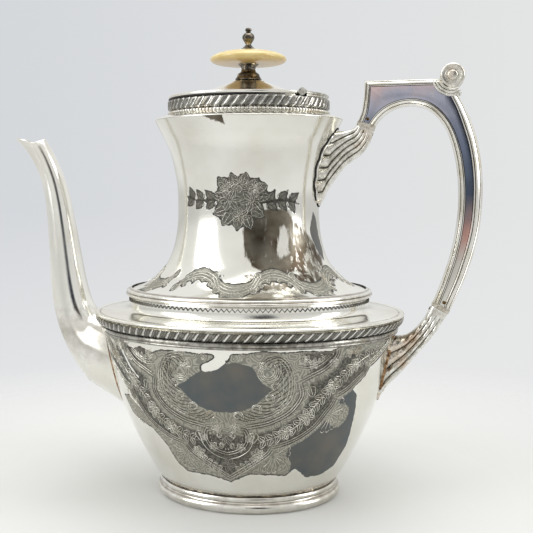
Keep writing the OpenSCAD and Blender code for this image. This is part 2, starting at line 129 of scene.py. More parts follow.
def engraved_plate(name):
    """Silver plate cut with a graver: matt grey where cut, dark where the metal has oxidised.

    The piece's ground says where it is cut, zone how far it is worked, field where it is left dark
    and open, and the smear layer where the bright plate is tarnished or carries a painted dark reflection."""
    mat, tree, place = fresh_material(name)
    ground, field, zone, smear_and_reflection = [add(tree, "Attribute", out="Fac", attribute_name=layer)
                                  for layer in ("ground", "field", "zone", "smear_and_reflection")]
    haze = add(tree, "TexNoise", {"Vector": place, "Scale": 1 / 38, "Detail": 4, "Roughness": 0.55})
    fray = add(tree, "TexNoise", {"Vector": place, "Scale": 1 / 2.4, "Detail": 3, "Roughness": 0.6})
    wide_fray = add(tree, "MapRange", [fray, 0, 1, -0.9, 0.9])
    ragged = add(tree, "Math", [ground, wide_fray], operation="ADD")
    inside = add(tree, "MapRange", [ragged, -0.12, 0.12])
    slight_fray = add(tree, "MapRange", [fray, 0, 1, -0.7, 0.7])
    open_field = add(tree, "Math", [field, slight_fray], operation="ADD")
    open_field = add(tree, "MapRange", [open_field, -0.15, 0.15])
    # cut lines that curl round one scroll after another, drawn 1.2 mm apart so that they show
    sway = add(tree, "TexNoise", {"Vector": place, "Scale": 1 / 7, "Detail": 1}, "Color")
    swayed = add(tree, "VectorMath", [sway, (6, 6, 6), place], operation="MULTIPLY_ADD")
    cells = add(tree, "TexVoronoi", {"Vector": swayed, "Scale": 1 / 5.5, "Smoothness": 0.2}, "Distance",
                feature="SMOOTH_F1")
    rings = add(tree, "Math", [cells, 28], operation="MULTIPLY")
    rings = add(tree, "Math", [rings], operation="SINE")
    curl = add(tree, "MapRange", [rings, -0.4, 0.6])
    worked = add(tree, "Mix", {0: curl, 6: "#84837A", 7: "#A9A79B"}, 2, data_type="RGBA")
    pick = add(tree, "TexNoise", {"Vector": place, "Scale": 1 / 1.1, "Detail": 2, "Roughness": 0.6})
    pick = add(tree, "MapRange", [pick, 0.42, 0.58])
    sunk = add(tree, "Mix", {0: pick, 6: "#3F3E39", 7: "#6B6A62"}, 2, data_type="RGBA")
    cut = add(tree, "Mix", {0: zone, 6: sunk, 7: worked}, 2, data_type="RGBA")
    warm = add(tree, "MapRange", [haze, 0.45, 0.75, 0, 0.4])
    cut = add(tree, "Mix", {0: warm, 6: cut, 7: "#77705F"}, 2, data_type="RGBA")
    outline = add(tree, "MapRange", [ground, 0.45, 0.75, 1.0, 0.0])
    cut = add(tree, "Mix", {0: outline, 6: cut, 7: "#3F3E39"}, 2, data_type="RGBA")
    cloud = add(tree, "TexNoise", {"Vector": place, "Scale": 1 / 14, "Detail": 4})
    cloud = add(tree, "MapRange", [cloud, 0.35, 0.7])
    blue_grey = add(tree, "Mix", {0: cloud, 6: "#50585B", 7: "#68655F"}, 2, data_type="RGBA")
    cut = add(tree, "Mix", {0: open_field, 6: cut, 7: blue_grey}, 2, data_type="RGBA")
    dull = add(tree, "MapRange", [haze, 0.42, 0.68])
    plain = add(tree, "Mix", {0: dull, 6: "#F3F2EC", 7: "#E4E2D8"}, 2, data_type="RGBA")
    brushed = add(tree, "VectorMath", [place, (1, 1, 0.16)], operation="MULTIPLY")
    stray = add(tree, "TexNoise", {"Vector": brushed, "Scale": 1 / 3.2, "Detail": 5, "Roughness": 0.7})
    stray = add(tree, "MapRange", [stray, 0.25, 0.75, -0.55, 0.55])
    # tarnish on the neck, together with painted dark reflections there, turns the plate brown and duller
    dirt_and_reflection = add(tree, "Math", [smear_and_reflection, stray], operation="ADD")
    dirt_and_reflection = add(tree, "MapRange", [dirt_and_reflection, 0.30, 0.74])
    smeared = add(tree, "MapRange", [smear_and_reflection, 0.02, 0.12])
    dirt_and_reflection = add(tree, "Math", [dirt_and_reflection, smeared], operation="MULTIPLY")
    drift = add(tree, "TexNoise", {"Vector": place, "Scale": 1 / 12, "Detail": 3})
    drift = add(tree, "MapRange", [drift, 0.4, 0.65])
    brown = add(tree, "Mix", {0: drift, 6: "#4E4438", 7: "#7D776B"}, 2, data_type="RGBA")
    plain = add(tree, "Mix", {0: dirt_and_reflection, 6: plain, 7: brown}, 2, data_type="RGBA")
    tint = add(tree, "Mix", {0: inside, 6: plain, 7: cut}, 2, data_type="RGBA")
    closed_field = add(tree, "Math", [1.0, open_field], operation="SUBTRACT")
    cutting = add(tree, "Math", [inside, closed_field], operation="MULTIPLY")
    cutting = add(tree, "Math", [cutting, 0.7], operation="MULTIPLY")
    cutting = add(tree, "Math", [curl, cutting], operation="MULTIPLY")
    sunken = add(tree, "Math", [inside, -0.6], operation="MULTIPLY")
    lift = add(tree, "Math", [cutting, sunken], operation="ADD")
    metallic = add(tree, "MapRange", [inside, 0, 1, 1.0, 0.45])
    rough = add(tree, "MapRange", [haze, 0.3, 0.75, 0.09, 0.20])
    rough = add(tree, "Mix", {0: dirt_and_reflection, 2: rough, 3: 0.3})
    rough = add(tree, "Mix", {0: inside, 2: rough, 3: 0.42})
    cuts = add(tree, "Bump", {"Height": lift, "Distance": 0.12 * MM, "Strength": 0.6})
    shader = add(tree, "BsdfPrincipled", {"Base Color": tint, "Metallic": metallic, "Roughness": rough,
                                          "Normal": cuts})
    add(tree, "OutputMaterial", [shader])
    return mat


def cast_plate(name, high="#DAD8D0", low="#8F8D84", warm="#A89B84"):
    """Silver-plated casting: softer mirror than the sheet, grey with rubbed high spots."""
    mat, tree, place = fresh_material(name)
    rub = add(tree, "TexNoise", {"Vector": place, "Scale": 1 / 3.5, "Detail": 5, "Roughness": 0.65})
    wide = add(tree, "TexNoise", {"Vector": place, "Scale": 1 / 16, "Detail": 3})
    rubbed = add(tree, "MapRange", [rub, 0.38, 0.62])
    colour = add(tree, "Mix", {0: rubbed, 6: low, 7: high}, 2, data_type="RGBA")
    wide = add(tree, "MapRange", [wide, 0.55, 0.75, 0, 0.6])
    colour = add(tree, "Mix", {0: wide, 6: colour, 7: warm}, 2, data_type="RGBA")
    # painted highlight in the slits between lobes, then painted shade with oxide in hollows and grooves
    for layer, hue in (("shine", "#F2F1EC"), ("oxide_and_shade", "#34322D")):
        share = add(tree, "Attribute", out="Fac", attribute_name=layer)
        colour = add(tree, "Mix", {0: share, 6: colour, 7: hue}, 2, data_type="RGBA")
    rough = add(tree, "MapRange", [rub, 0.3, 0.7, 0.34, 0.18])
    skin = add(tree, "Bump", {"Height": rub, "Distance": 0.08 * MM, "Strength": 0.4})
    shader = add(tree, "BsdfPrincipled", {"Base Color": colour, "Metallic": 1.0, "Roughness": rough,
                                          "Normal": skin})
    add(tree, "OutputMaterial", [shader])
    return mat


def oxide(name, deep="#33312D", light="#6A665D"):
    """Black silver sulphide left in the hollows of castings, and, in its darkest colours, a black used as
    painted shadow in the gaps at seams: nearly matt.
    """
    mat, tree, place = fresh_material(name)
    crust = add(tree, "TexNoise", {"Vector": place, "Scale": 1 / 2.5, "Detail": 4})
    grit = add(tree, "TexNoise", {"Vector": place, "Scale": 1 / 0.8, "Detail": 2})
    colour = add(tree, "Mix", {0: crust, 6: deep, 7: light}, 2, data_type="RGBA")
    skin = add(tree, "Bump", {"Height": grit, "Distance": 0.05 * MM, "Strength": 0.5})
    shader = add(tree, "BsdfPrincipled", {"Base Color": colour, "Metallic": 0.5, "Roughness": 0.5,
                                          "Normal": skin})
    add(tree, "OutputMaterial", [shader])
    return mat


def solder_line(name):
    """Old solder and bared base metal: coppery brown, dull."""
    mat, tree, place = fresh_material(name)
    patch = add(tree, "TexNoise", {"Vector": place, "Scale": 1 / 3, "Detail": 5, "Roughness": 0.7})
    colour = add(tree, "ValToRGB", [patch], stops=((0.38, "#2E261F"), (0.5, "#8F6C4C"), (0.66, "#CDAF8C")))
    skin = add(tree, "Bump", {"Height": patch, "Distance": 0.1 * MM, "Strength": 0.6})
    shader = add(tree, "BsdfPrincipled", {"Base Color": colour, "Metallic": 0.9, "Roughness": 0.38,
                                          "Normal": skin})
    add(tree, "OutputMaterial", [shader])
    return mat


def handle_plate(name):
    """Silver-plated handle: bright beads, black lines of oxide and painted shade in its recesses, and
    thin-film tarnish on the sunk flats.
    """
    mat, tree, place = fresh_material(name)
    height = add(tree, "SeparateXYZ", [place], "Z")
    wander = add(tree, "TexNoise", {"Vector": place, "Scale": 1 / 16, "Detail": 3})
    wander = add(tree, "MapRange", [wander, 0, 1, -14, 14])
    tide = add(tree, "Math", [height, wander], operation="ADD")
    tide = add(tree, "MapRange", [tide, 100, 235])
    film = add(tree, "ValToRGB", [tide], stops=(
        (0.10, "#DCDAD2"), (0.24, "#CFCBC4"), (0.36, "#C49A8F"), (0.44, "#8C7E80"), (0.52, "#505A6B"),
        (0.66, "#747E93"), (0.80, "#8D92A4"), (0.88, "#B0B1C0"), (0.95, "#D2BBBA")))
    streak = add(tree, "VectorMath", [place, (1, 1, 0.3)], operation="MULTIPLY")
    worn = add(tree, "TexNoise", {"Vector": streak, "Scale": 1 / 4, "Detail": 4, "Roughness": 0.6})
    worn = add(tree, "MapRange", [worn, 0.60, 0.72, 0, 0.6])
    film = add(tree, "Mix", {0: worn, 6: film, 7: "#C6C2B8"}, 2, data_type="RGBA")
    rub = add(tree, "TexNoise", {"Vector": place, "Scale": 1 / 9, "Detail": 4})
    rubbed = add(tree, "MapRange", [rub, 0.45, 0.7])
    bright = add(tree, "Mix", {0: rubbed, 6: "#F0EEE8", 7: "#D8D2C2"}, 2, data_type="RGBA")
    specks = add(tree, "TexNoise", {"Vector": place, "Scale": 1 / 3, "Detail": 4, "Roughness": 0.7})
    specks = add(tree, "MapRange", [specks, 0.66, 0.74, 0, 0.7])
    bright = add(tree, "Mix", {0: specks, 6: bright, 7: "#A98F6E"}, 2, data_type="RGBA")
    flat = add(tree, "Attribute", out="Fac", attribute_name="panel")
    flat = add(tree, "MapRange", [flat, 0.5, 0.9])
    colour = add(tree, "Mix", {0: flat, 6: bright, 7: film}, 2, data_type="RGBA")
    oxide_and_shade = add(tree, "Attribute", out="Fac", attribute_name="oxide_and_shade")
    oxide_and_shade = add(tree, "MapRange", [oxide_and_shade, 0.35, 0.75])
    colour = add(tree, "Mix", {0: oxide_and_shade, 6: colour, 7: "#2E2C2A"}, 2, data_type="RGBA")
    rough = add(tree, "MapRange", [rub, 0.3, 0.7, 0.12, 0.24])
    wavy = add(tree, "TexNoise", {"Vector": place, "Scale": 1 / 1.5, "Detail": 3})
    skin = add(tree, "Bump", {"Height": wavy, "Distance": 0.02 * MM, "Strength": 0.3})
    shader = add(tree, "BsdfPrincipled", {"Base Color": colour, "Metallic": 1.0, "Roughness": rough,
                                          "Normal": skin})
    add(tree, "OutputMaterial", [shader])
    return mat


def blackened_turning(name):
    """Turned silver plate gone dark, rubbed back to warm metal on its high rings."""
    mat, tree, place = fresh_material(name)
    rub = add(tree, "TexNoise", {"Vector": place, "Scale": 1 / 2.6, "Detail": 5, "Roughness": 0.6})
    colour = add(tree, "ValToRGB", [rub], stops=((0.36, "#34312E"), (0.52, "#6E6860"), (0.68, "#B9A98E")))
    rough = add(tree, "MapRange", [rub, 0.3, 0.7, 0.38, 0.2])
    skin = add(tree, "Bump", {"Height": rub, "Distance": 0.05 * MM, "Strength": 0.5})
    shader = add(tree, "BsdfPrincipled", {"Base Color": colour, "Metallic": 1.0, "Roughness": rough,
                                          "Normal": skin})
    add(tree, "OutputMaterial", [shader])
    return mat


def ivory_turning(name):
    """Cream turned button material: polished, slightly waxy, with faint straight grain."""
    mat, tree, place = fresh_material(name)
    stretched = add(tree, "VectorMath", [place, (0.12, 1.0, 1.0)], operation="MULTIPLY")
    grain = add(tree, "TexNoise", {"Vector": stretched, "Scale": 1 / 1.1, "Detail": 3, "Roughness": 0.6})
    cloud = add(tree, "TexNoise", {"Vector": place, "Scale": 1 / 9, "Detail": 3})
    cloud = add(tree, "MapRange", [cloud, 0.35, 0.7])
    colour = add(tree, "Mix", {0: cloud, 6: "#DCCB8E", 7: "#C9B26C"}, 2, data_type="RGBA")
    streak = add(tree, "MapRange", [grain, 0.5, 0.7])
    streak = add(tree, "Math", [streak, 0.35], operation="MULTIPLY")
    colour = add(tree, "Mix", {0: streak, 6: colour, 7: "#B9935A"}, 2, data_type="RGBA")
    height = add(tree, "SeparateXYZ", [place], "Z")
    underside = add(tree, "MapRange", [height, 239, 242.4, 1.0, 0.0])
    underside = add(tree, "Math", [underside, 0.55], operation="MULTIPLY")
    colour = add(tree, "Mix", {0: underside, 6: colour, 7: "#B88A50"}, 2, data_type="RGBA")
    skin = add(tree, "Bump", {"Height": grain, "Distance": 0.015 * MM, "Strength": 0.4})
    shader = add(tree, "BsdfPrincipled", {
        "Base Color": colour, "Roughness": 0.28, "Normal": skin, "Subsurface Weight": 0.12,
        "Subsurface Radius": (0.004, 0.002, 0.001), "Coat Weight": 0.25, "Coat Roughness": 0.12})
    add(tree, "OutputMaterial", [shader])
    return mat


def bone_spacer(name):
    """Grey-white heat spacer between the metal parts of the handle: satin, faintly grained."""
    mat, tree, place = fresh_material(name)
    grain = add(tree, "TexNoise", {"Vector": place, "Scale": 1 / 1.4, "Detail": 3})
    worn = add(tree, "MapRange", [grain, 0.4, 0.65])
    colour = add(tree, "Mix", {0: worn, 6: "#C6C2B6", 7: "#988F7E"}, 2, data_type="RGBA")
    skin = add(tree, "Bump", {"Height": grain, "Distance": 0.02 * MM, "Strength": 0.4})
    shader = add(tree, "BsdfPrincipled", {"Base Color": colour, "Roughness": 0.34, "Normal": skin})
    add(tree, "OutputMaterial", [shader])
    return mat


def dull_brass(name):
    """Small brass pins and nut, brown from handling."""
    mat, tree, place = fresh_material(name)
    patch = add(tree, "TexNoise", {"Vector": place, "Scale": 1 / 0.9, "Detail": 4})
    colour = add(tree, "ValToRGB", [patch], stops=((0.42, "#2E2416"), (0.62, "#8F7342")))
    shader = add(tree, "BsdfPrincipled", {"Base Color": colour, "Metallic": 1.0, "Roughness": 0.36})
    add(tree, "OutputMaterial", [shader])
    return mat


plate = polished_plate("polished silver plate")
engraved = engraved_plate("engraved silver plate")
cast = cast_plate("cast silver plate")
bead_metal = cast_plate("rubbed bead silver", "#E6E4DC", "#B9B6AC")
line_metal = cast_plate("cut line silver", "#DEDCD3", "#B9B7AC")
line_dark = cast_plate("cut line oxidised silver", "#5C5B53", "#403F39", "#5A5446")
# a lighter copy of the cast plate, its lightness a painted highlight, with warm edges; used on the sockets,
# the rim's beading and the thumb roll
cast_with_painted_highlight = cast_plate("cast silver plate lightened as painted highlight", "#F2F1EB", "#C3C0B6", "#CFAE8C")
black = oxide("silver oxide in hollows")
# a black put in gaps as painted shadow, under the lid's rim and round the upper socket's seat
shadow_black = oxide("black painted shadow in gaps", "#12110F", "#2E2B27")
solder = solder_line("old solder")
panel = handle_plate("silver plated handle")
dark_turning = blackened_turning("blackened finial metal")
ivory = ivory_turning("ivory coloured button")
brass = dull_brass("dull brass")
bone = bone_spacer("bone spacer")


# ---------------------------------------------------------------- making pieces

def deselect():
    for item in bpy.context.selected_objects:
        item.select_set(False)


def dress(piece, body, slot_name, *mats):
    """Gives a finished piece its body and materials; its slot_name is not used."""
    piece.data.materials.clear()
    for mat in mats:
        piece.data.materials.append(mat)
    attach(piece, body)
    return piece


def rings_to_piece(name, rings, ends="fill", sharp=32):
    """Draws the first ring as a circle, extrudes it to every other ring, then closes the ends.

    ends: "fill" caps both, "loop" joins the last ring to the first, "points" merges each end."""
    deselect()
    count = len(rings[0])
    bpy.ops.mesh.primitive_circle_add(vertices=count, radius=1)
    piece = bpy.context.object
    piece.name = name
    piece.data.name = name
    bpy.ops.object.mode_set(mode="EDIT")
    mesh = bmesh.from_edit_mesh(piece.data)
    order = mesh.verts.layers.int.new("order")
    for k, vert in enumerate(mesh.verts):
        vert[order] = k
        vert.co = Vector(rings[0][k]) * MM
    bpy.ops.mesh.select_all(action="SELECT")
    for ring in rings[1:]:
        bpy.ops.mesh.extrude_region_move()
        mesh = bmesh.from_edit_mesh(piece.data)
        order = mesh.verts.layers.int["order"]
        for vert in mesh.verts[len(mesh.verts) - count:]:
            vert.co = Vector(ring[vert[order]]) * MM
    mesh = bmesh.from_edit_mesh(piece.data)
    mesh.verts.ensure_lookup_table()
    if ends == "loop":
        for edge in mesh.edges:
            edge.select = edge.is_boundary
        bpy.ops.mesh.bridge_edge_loops()
    else:
        action = bpy.ops.mesh.edge_face_add if ends == "fill" else (lambda: bpy.ops.mesh.merge(type="CENTER"))
        action()
        mesh = bmesh.from_edit_mesh(piece.data)
        mesh.verts.ensure_lookup_table()
        deselect_mesh(mesh)
        for k in range(count):
            mesh.verts[k].select = True
        mesh.select_flush(True)
        bmesh.update_edit_mesh(piece.data)
        action()
    mesh = bmesh.from_edit_mesh(piece.data)
    mesh.verts.layers.int.remove(mesh.verts.layers.int["order"])
    bmesh.update_edit_mesh(piece.data)
    bpy.ops.mesh.select_all(action="SELECT")
    bpy.ops.mesh.remove_doubles(threshold=1e-7)
    bpy.ops.mesh.normals_make_consistent(inside=False)
    bpy.ops.object.mode_set(mode="OBJECT")
    bpy.ops.object.shade_smooth_by_angle(angle=radians(sharp))
    return piece


def deselect_mesh(mesh):
    for group in (mesh.faces, mesh.edges, mesh.verts):
        for item in group:
            item.select = False


def turned_rings(profile, segments=240, oval=OVAL, wave=None):
    """Rings for a profile of half widths and heights; wave(turn, k) moves point k outward."""
    rings = []
    for k, (half, z) in enumerate(profile):
        ring = []
        for i in range(segments):
            turn = 2 * pi * i / segments
            out = half + (wave(turn, k) if wave else 0)
            ring.append((out * cos(turn), out * oval * sin(turn), z))
        rings.append(ring)
    return rings


def smooth(points, n):
    """Curve through the points with n steps between each pair."""
    pts = [Vector(p) for p in points]
    out = []
    for i in range(len(pts) - 1):
        a, b, c, d = pts[max(i - 1, 0)], pts[i], pts[i + 1], pts[min(i + 2, len(pts) - 1)]
        for k in range(n):
            t = k / n
            out.append(0.5 * (2 * b + (c - a) * t + (2 * a - 5 * b + 4 * c - d) * t * t
                              + (3 * b - a - 3 * c + d) * t ** 3))
    return out + [pts[-1]]


def beside(points, gap):
    """The points moved to their left by gap, mitred."""
    out = []
    for i, p in enumerate(points):
        back = (p - points[i - 1]).normalized() if i else (points[1] - p).normalized()
        on = (points[i + 1] - p).normalized() if i < len(points) - 1 else back
        way = (back + on).normalized()
        reach = gap / max(way.dot(on), 0.5)
        out.append(p + Vector((-way.y, way.x)) * reach)
    return out


def arc(cx, cz, r, start, end, n):
    return [Vector((cx + r * cos(radians(start + (end - start) * i / n)),
                    cz + r * sin(radians(start + (end - start) * i / n)))) for i in range(n + 1)]


def softened(profile, r):
    """A closed profile with every sharp corner rounded by about r."""
    out = []
    n = len(profile)
    for i in range(n):
        a, b, c = Vector(profile[i - 1]), Vector(profile[i]), Vector(profile[(i + 1) % n])
        u, v = (a - b), (c - b)
        reach = min(r, u.length * 0.4, v.length * 0.4)
        if u.length < 1e-6 or v.length < 1e-6:
            continue
        if u.angle(v) > radians(150):
            out.append(b)
            continue
        p, q = b + u.normalized() * reach, b + v.normalized() * reach
        out += [p, (p + q) * 0.25 + b * 0.5, q]
    return out


def threads(name, runs, r, body, slot_name, mat, sides=2):
    """Fine raised lines: every run of points becomes a round thread half sunk in the surface."""
    curve = bpy.data.curves.new(name, "CURVE")
    curve.dimensions = "3D"
    curve.bevel_depth = r * MM
    curve.bevel_resolution = sides
    curve.use_fill_caps = True
    for run in runs:
        closed = (Vector(run[0]) - Vector(run[-1])).length < 1e-6
        points = run[:-1] if closed else run
        line = curve.splines.new("POLY")
        line.points.add(len(points) - 1)
        line.use_cyclic_u = closed
        for k, (spot, p) in enumerate(zip(line.points, points)):
            spot.co = (p[0] * MM, p[1] * MM, p[2] * MM, 1)
            ends = min(k, len(points) - 1 - k)
            spot.radius = 1.0 if closed or len(points) < 4 else min(1.0, 0.45 + 3 * ends / len(points))
    piece = bpy.data.objects.new(name, curve)
    bpy.context.collection.objects.link(piece)
    deselect()
    piece.select_set(True)
    bpy.context.view_layer.objects.active = piece
    bpy.ops.object.convert(target="MESH")
    piece = bpy.context.object
    bpy.ops.object.mode_set(mode="EDIT")
    bpy.ops.mesh.select_all(action="SELECT")
    bpy.ops.mesh.normals_make_consistent(inside=False)
    bpy.ops.object.mode_set(mode="OBJECT")
    bpy.ops.object.shade_smooth_by_angle(angle=radians(50 if sides else 100))
    return dress(piece, body, slot_name, mat)


def paint(piece, name, values):
    """Stores one number for each of the piece's points."""
    layer = piece.data.attributes.new(name, "FLOAT", "POINT")
    layer.data.foreach_set("value", np.asarray(values, dtype=np.float32))


def points_of(piece):
    flat = np.empty(len(piece.data.vertices) * 3, dtype=np.float32)
    piece.data.vertices.foreach_get("co", flat)
    return flat.reshape(-1, 3) / MM


# ---------------------------------------------------------------- engraving layout

def stroke_field(u, z, strokes):
    """Largest of width minus distance over all strokes; a stroke is a run of (u, z, half width)."""
    best = np.full(u.shape, -50.0)
    for run in strokes:
        for (ua, za, wa), (ub, zb, wb) in zip(run, run[1:]):
            du, dz = ub - ua, zb - za
            long2 = du * du + dz * dz
            if long2 < 1e-9:
                continue
            t = np.clip(((u - ua) * du + (z - za) * dz) / long2, 0, 1)
            gap = np.hypot(u - ua - t * du, z - za - t * dz)
            best = np.maximum(best, wa + (wb - wa) * t - gap)
    return best


def outline_field(u, z, outline):
    """Signed distance to a closed outline, positive inside."""
    gap = np.full(u.shape, 1e9)
    inside = np.zeros(u.shape, dtype=bool)
    for (ua, za), (ub, zb) in zip(outline, outline[1:] + outline[:1]):
        du, dz = ub - ua, zb - za
        long2 = max(du * du + dz * dz, 1e-9)
        t = np.clip(((u - ua) * du + (z - za) * dz) / long2, 0, 1)
        gap = np.minimum(gap, np.hypot(u - ua - t * du, z - za - t * dz))
        crosses = ((za > z) != (zb > z))
        at = ua + (z - za) * du / (dz if abs(dz) > 1e-9 else 1e-9)
        inside ^= crosses & (u < at)
    return np.where(inside, gap, -gap)


def mirrored(run):
    return [(-p[0],) + tuple(p[1:]) for p in run]


def both(runs):
    return runs + [mirrored(run) for run in runs]


def volute(cu, cz, r, start, turns, hand=1, tight=0.16, n=26):
    """A scroll that winds in to its centre."""
    out = []
    for i in range(n + 1):
        t = i / n
        a = radians(start) + hand * 2 * pi * turns * t
        k = r * (1 - (1 - tight) * t ** 0.8)
        out.append((cu + k * cos(a), cz + k * sin(a)))
    return out


def leaf(u, z, size, angle, fat=0.32):
    """Outline and midrib of a small pointed leaf."""
    a = radians(angle)
    ways = []
    for side in (1, -1):
        run = []
        for i in range(9):
            t = i / 8
            across = side * size * fat * sin(pi * t ** 0.75) * (1 + 0.18 * sin(3 * pi * t))
            run.append((u + size * t * cos(a) - across * sin(a), z + size * t * sin(a) + across * cos(a)))
        ways.append(run)
    rib = [(u + size * t * cos(a), z + size * t * sin(a)) for t in (0.0, 0.3, 0.6, 0.85)]
    return ways + [rib]


def shell_fan(u, z, size, angle, rays=7, spread=130):
    """A scallop: rays from one point with a lobe over each pair."""
    runs = []
    for k in range(rays):
        a = radians(angle + spread * (k / (rays - 1) - 0.5))
        bend = radians(spread * (k / (rays - 1) - 0.5) * 0.35)
        runs.append([(u + size * t * cos(a + bend * t), z + size * t * sin(a + bend * t))
                     for t in (0.15, 0.4, 0.7, 0.95)])
        if k:
            b = radians(angle + spread * ((k - 0.5) / (rays - 1) - 0.5))
            b += radians(spread * ((k - 0.5) / (rays - 1) - 0.5) * 0.35)
            c = (u + size * cos(b), z + size * sin(b))
            runs.append([(c[0] + size * 0.14 * cos(b + q), c[1] + size * 0.14 * sin(b + q))
                         for q in (-1.4, -0.7, 0, 0.7, 1.4)])
    return runs


def flower(u, z, size, petals=5, turn=0):
    runs = [[(u + size * 0.16 * cos(2 * pi * k / 8), z + size * 0.16 * sin(2 * pi * k / 8))
             for k in range(9)]]
    for k in range(petals):
        a = turn + 360 * k / petals
        runs += leaf(u + 0.2 * size * cos(radians(a)), z + 0.2 * size * sin(radians(a)), size * 0.8, a, 0.38)
    return runs


def dense(run, gap=1.6):
    """The run with points at most gap apart."""
    out = []
    for p, q in zip(run, run[1:]):
        n = max(1, ceil(hypot(q[0] - p[0], q[1] - p[1]) / gap))
        out += [(p[0] + (q[0] - p[0]) * i / n, p[1] + (q[1] - p[1]) * i / n) for i in range(n)]
    return out + [run[-1]]


# ---------------------------------------------------------------- outlines of the vessel

body_points = [(49.9, 9.6), (53.4, 14.4), (57.8, 22.2), (62.6, 31.6), (67.4, 42), (71.6, 52.2), (75, 63),
               (77.9, 75), (80.2, 86), (81.4, 92), (82, 96.4), (82.4, 100.4)]
neck_points = [(65.6, 115.3), (60, 117.1), (54.4, 120.3), (49.4, 124.8), (45.2, 130.6), (42, 138.4),
               (40, 149), (39.4, 161), (40, 174), (43.4, 190), (48, 200), (52, 208)]


def table_of(points):
    """Heights and half widths along an outline."""
    curve = smooth(points, 6)
    return [p[1] for p in curve], [p[0] for p in curve]


def half_at(table, z):
    return float(np.interp(z, *table))


body_table, neck_table = table_of(body_points), table_of(neck_points)


def sheet(points, thick, n):
    """Closed profile of a sheet: outside up, inside down, with level ends."""
    outer = smooth(points, n)
    inner = beside(outer, thick)
    inner[-1] = Vector((outer[-1].x - thick / (outer[-1] - outer[-2]).normalized().y, outer[-1].y))
    first = (outer[1] - outer[0]).normalized()
    if first.y > 0.5:
        inner[0] = Vector((outer[0].x - thick / first.y, outer[0].y))
    return outer + inner[::-1]


def on_oval(table, u, z, out, side=-1, per_mm=DEG_MM):
    """A point on an oval shell from surface millimetres round it, its height and its lift."""
    half = half_at(table, z) + out
    turn = radians(u / per_mm)
    return (half * sin(turn), side * half * OVAL * cos(turn), z)


# ---------------------------------------------------------------- vessel

def lathe(name, profile, slot_name, mat, *nodes, body="pot", r=0.35, segments=240, oval=OVAL, ends="loop",
          sharp=32):
    """A turned piece that takes the place of the named nodes."""
    line = softened(profile, r) if r else profile
    piece = rings_to_piece(name, turned_rings(line, segments, oval), ends, sharp)
    dress(piece, body, slot_name, mat)
    if nodes:
        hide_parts(*nodes)
    return piece


def reeded(name, profile, lobes, slant, depth, slot_name, node, lines, gap, per_lobe=10, bare=0, mat=cast,
           dusk=0.0):
    """A band of slanted rounded lobes: painted shade with oxide where lines lie across a lobe, a painted
    highlight in the gap between two.

    The last `bare` profile points stay plain; dusk darkens each lobe as a whole, as painted shade."""
    count = len(profile) - bare

    def share(turn, k):
        return (lobes * turn / (2 * pi) - slant * k / max(count - 1, 1)) % 1

    def lobe(turn, k):
        if k >= count:
            return 0
        swell = sqrt(max(0.0, 1 - (2 * share(turn, k) - 1) ** 2))
        return depth * (swell - 1) * min(1, 4 * min(k, count - 1 - k) / count + 0.25)

    segments = lobes * per_lobe
    rings = turned_rings(profile, segments, OVAL, lobe)
    piece = rings_to_piece(name, rings, "loop", 50)
    dark, light = [], []
    for k in range(len(profile)):
        drop = k / max(count - 1, 1)
        row_dark, row_light = [], []
        for i in range(segments):
            at = share(2 * pi * i / segments, k)
            plain = k >= count or not lines
            hit = max([0] + [1 - abs(at - c) / w for c, w in lines])
            slit = min(at, 1 - at) < gap * (1.7 - drop)
            row_dark.append(0.0 if plain or slit else max(dusk, min(1.0, 2.6 * max(0, hit))))
            row_light.append(0.0 if plain else float(slit))
        dark.append(row_dark)
        light.append(row_light)
    carry(piece, rings, "oxide_and_shade", dark)
    carry(piece, rings, "shine", light)
    dress(piece, "pot", slot_name, mat)
    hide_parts(node)
    return piece


def carry(piece, rings, name, values):
    """Gives every point the value of the ring point it came from."""
    table = {}
    for ring, row in zip(rings, values):
        for p, v in zip(ring, row):
            table[tuple(round(c, 2) for c in p)] = v
    paint(piece, name, [table.get(tuple(round(float(c), 2) for c in p), 0.0) for p in points_of(piece)])


def creases(piece, base, *marks):
    """Darkness for each point of a piece, painted shade with dirt and oxide in creases: base, or more near a
    crease of (height, strength, half width).
    """
    return [max([base] + [most - abs(p[2] - z) / width for z, most, width in marks])
            for p in points_of(piece)]


foot_profile = [(47.2, 0), (50.4, 0)] + arc(49.6, 3, 2.6, -58, 62, 9) + arc(48.9, 7.4, 1.8, -50, 70, 7) \
    + [(49.9, 9.6), (47.2, 9.6)]
foot = lathe("foot_moulding", foot_profile, "silver", plate, "foot_rim")
# painted shade: the foot a little darker all over and more in its two creases
paint(foot, "stain_and_shade", creases(foot, 0.3, (5.4, 0.9, 1.2), (9.2, 0.9, 1.0)))
body = lathe("engraved_body", sheet(body_points, WALL, 7), "silver", engraved, "lower_body", r=0,
             segments=400, sharp=40)
wire_profile = [(81.45, 92), (82.8, 92.25), (83.3, 93.0), (83.05, 93.5), (83.5, 94.1), (83.6, 94.7),
                (83.2, 95.5), (82, 95.5)]
wire_piece = lathe("border_wire", wire_profile, "silver_trim", cast, "shoulder_wire", r=0)
# painted shade with oxide in the border wire's creases
paint(wire_piece, "oxide_and_shade", creases(wire_piece, 0.3, (93.4, 1, 0.5), (95.4, 1, 0.6), (92.1, 1, 0.4)))
shoulder_reed = [(82.2, 95.6)] + arc(81.4, 100.9, 5.2, -70, -4, 11) + [(86.5, 100.4), (82.5, 100.4)]
reeded("shoulder_gadroons", shoulder_reed, 104, 0.95, 0.8, "silver_trim", "shoulder_gadroon",
       ((0.2, 0.09), (0.5, 0.08), (0.8, 0.09)), 0.1, 14, 2, dusk=0.56)

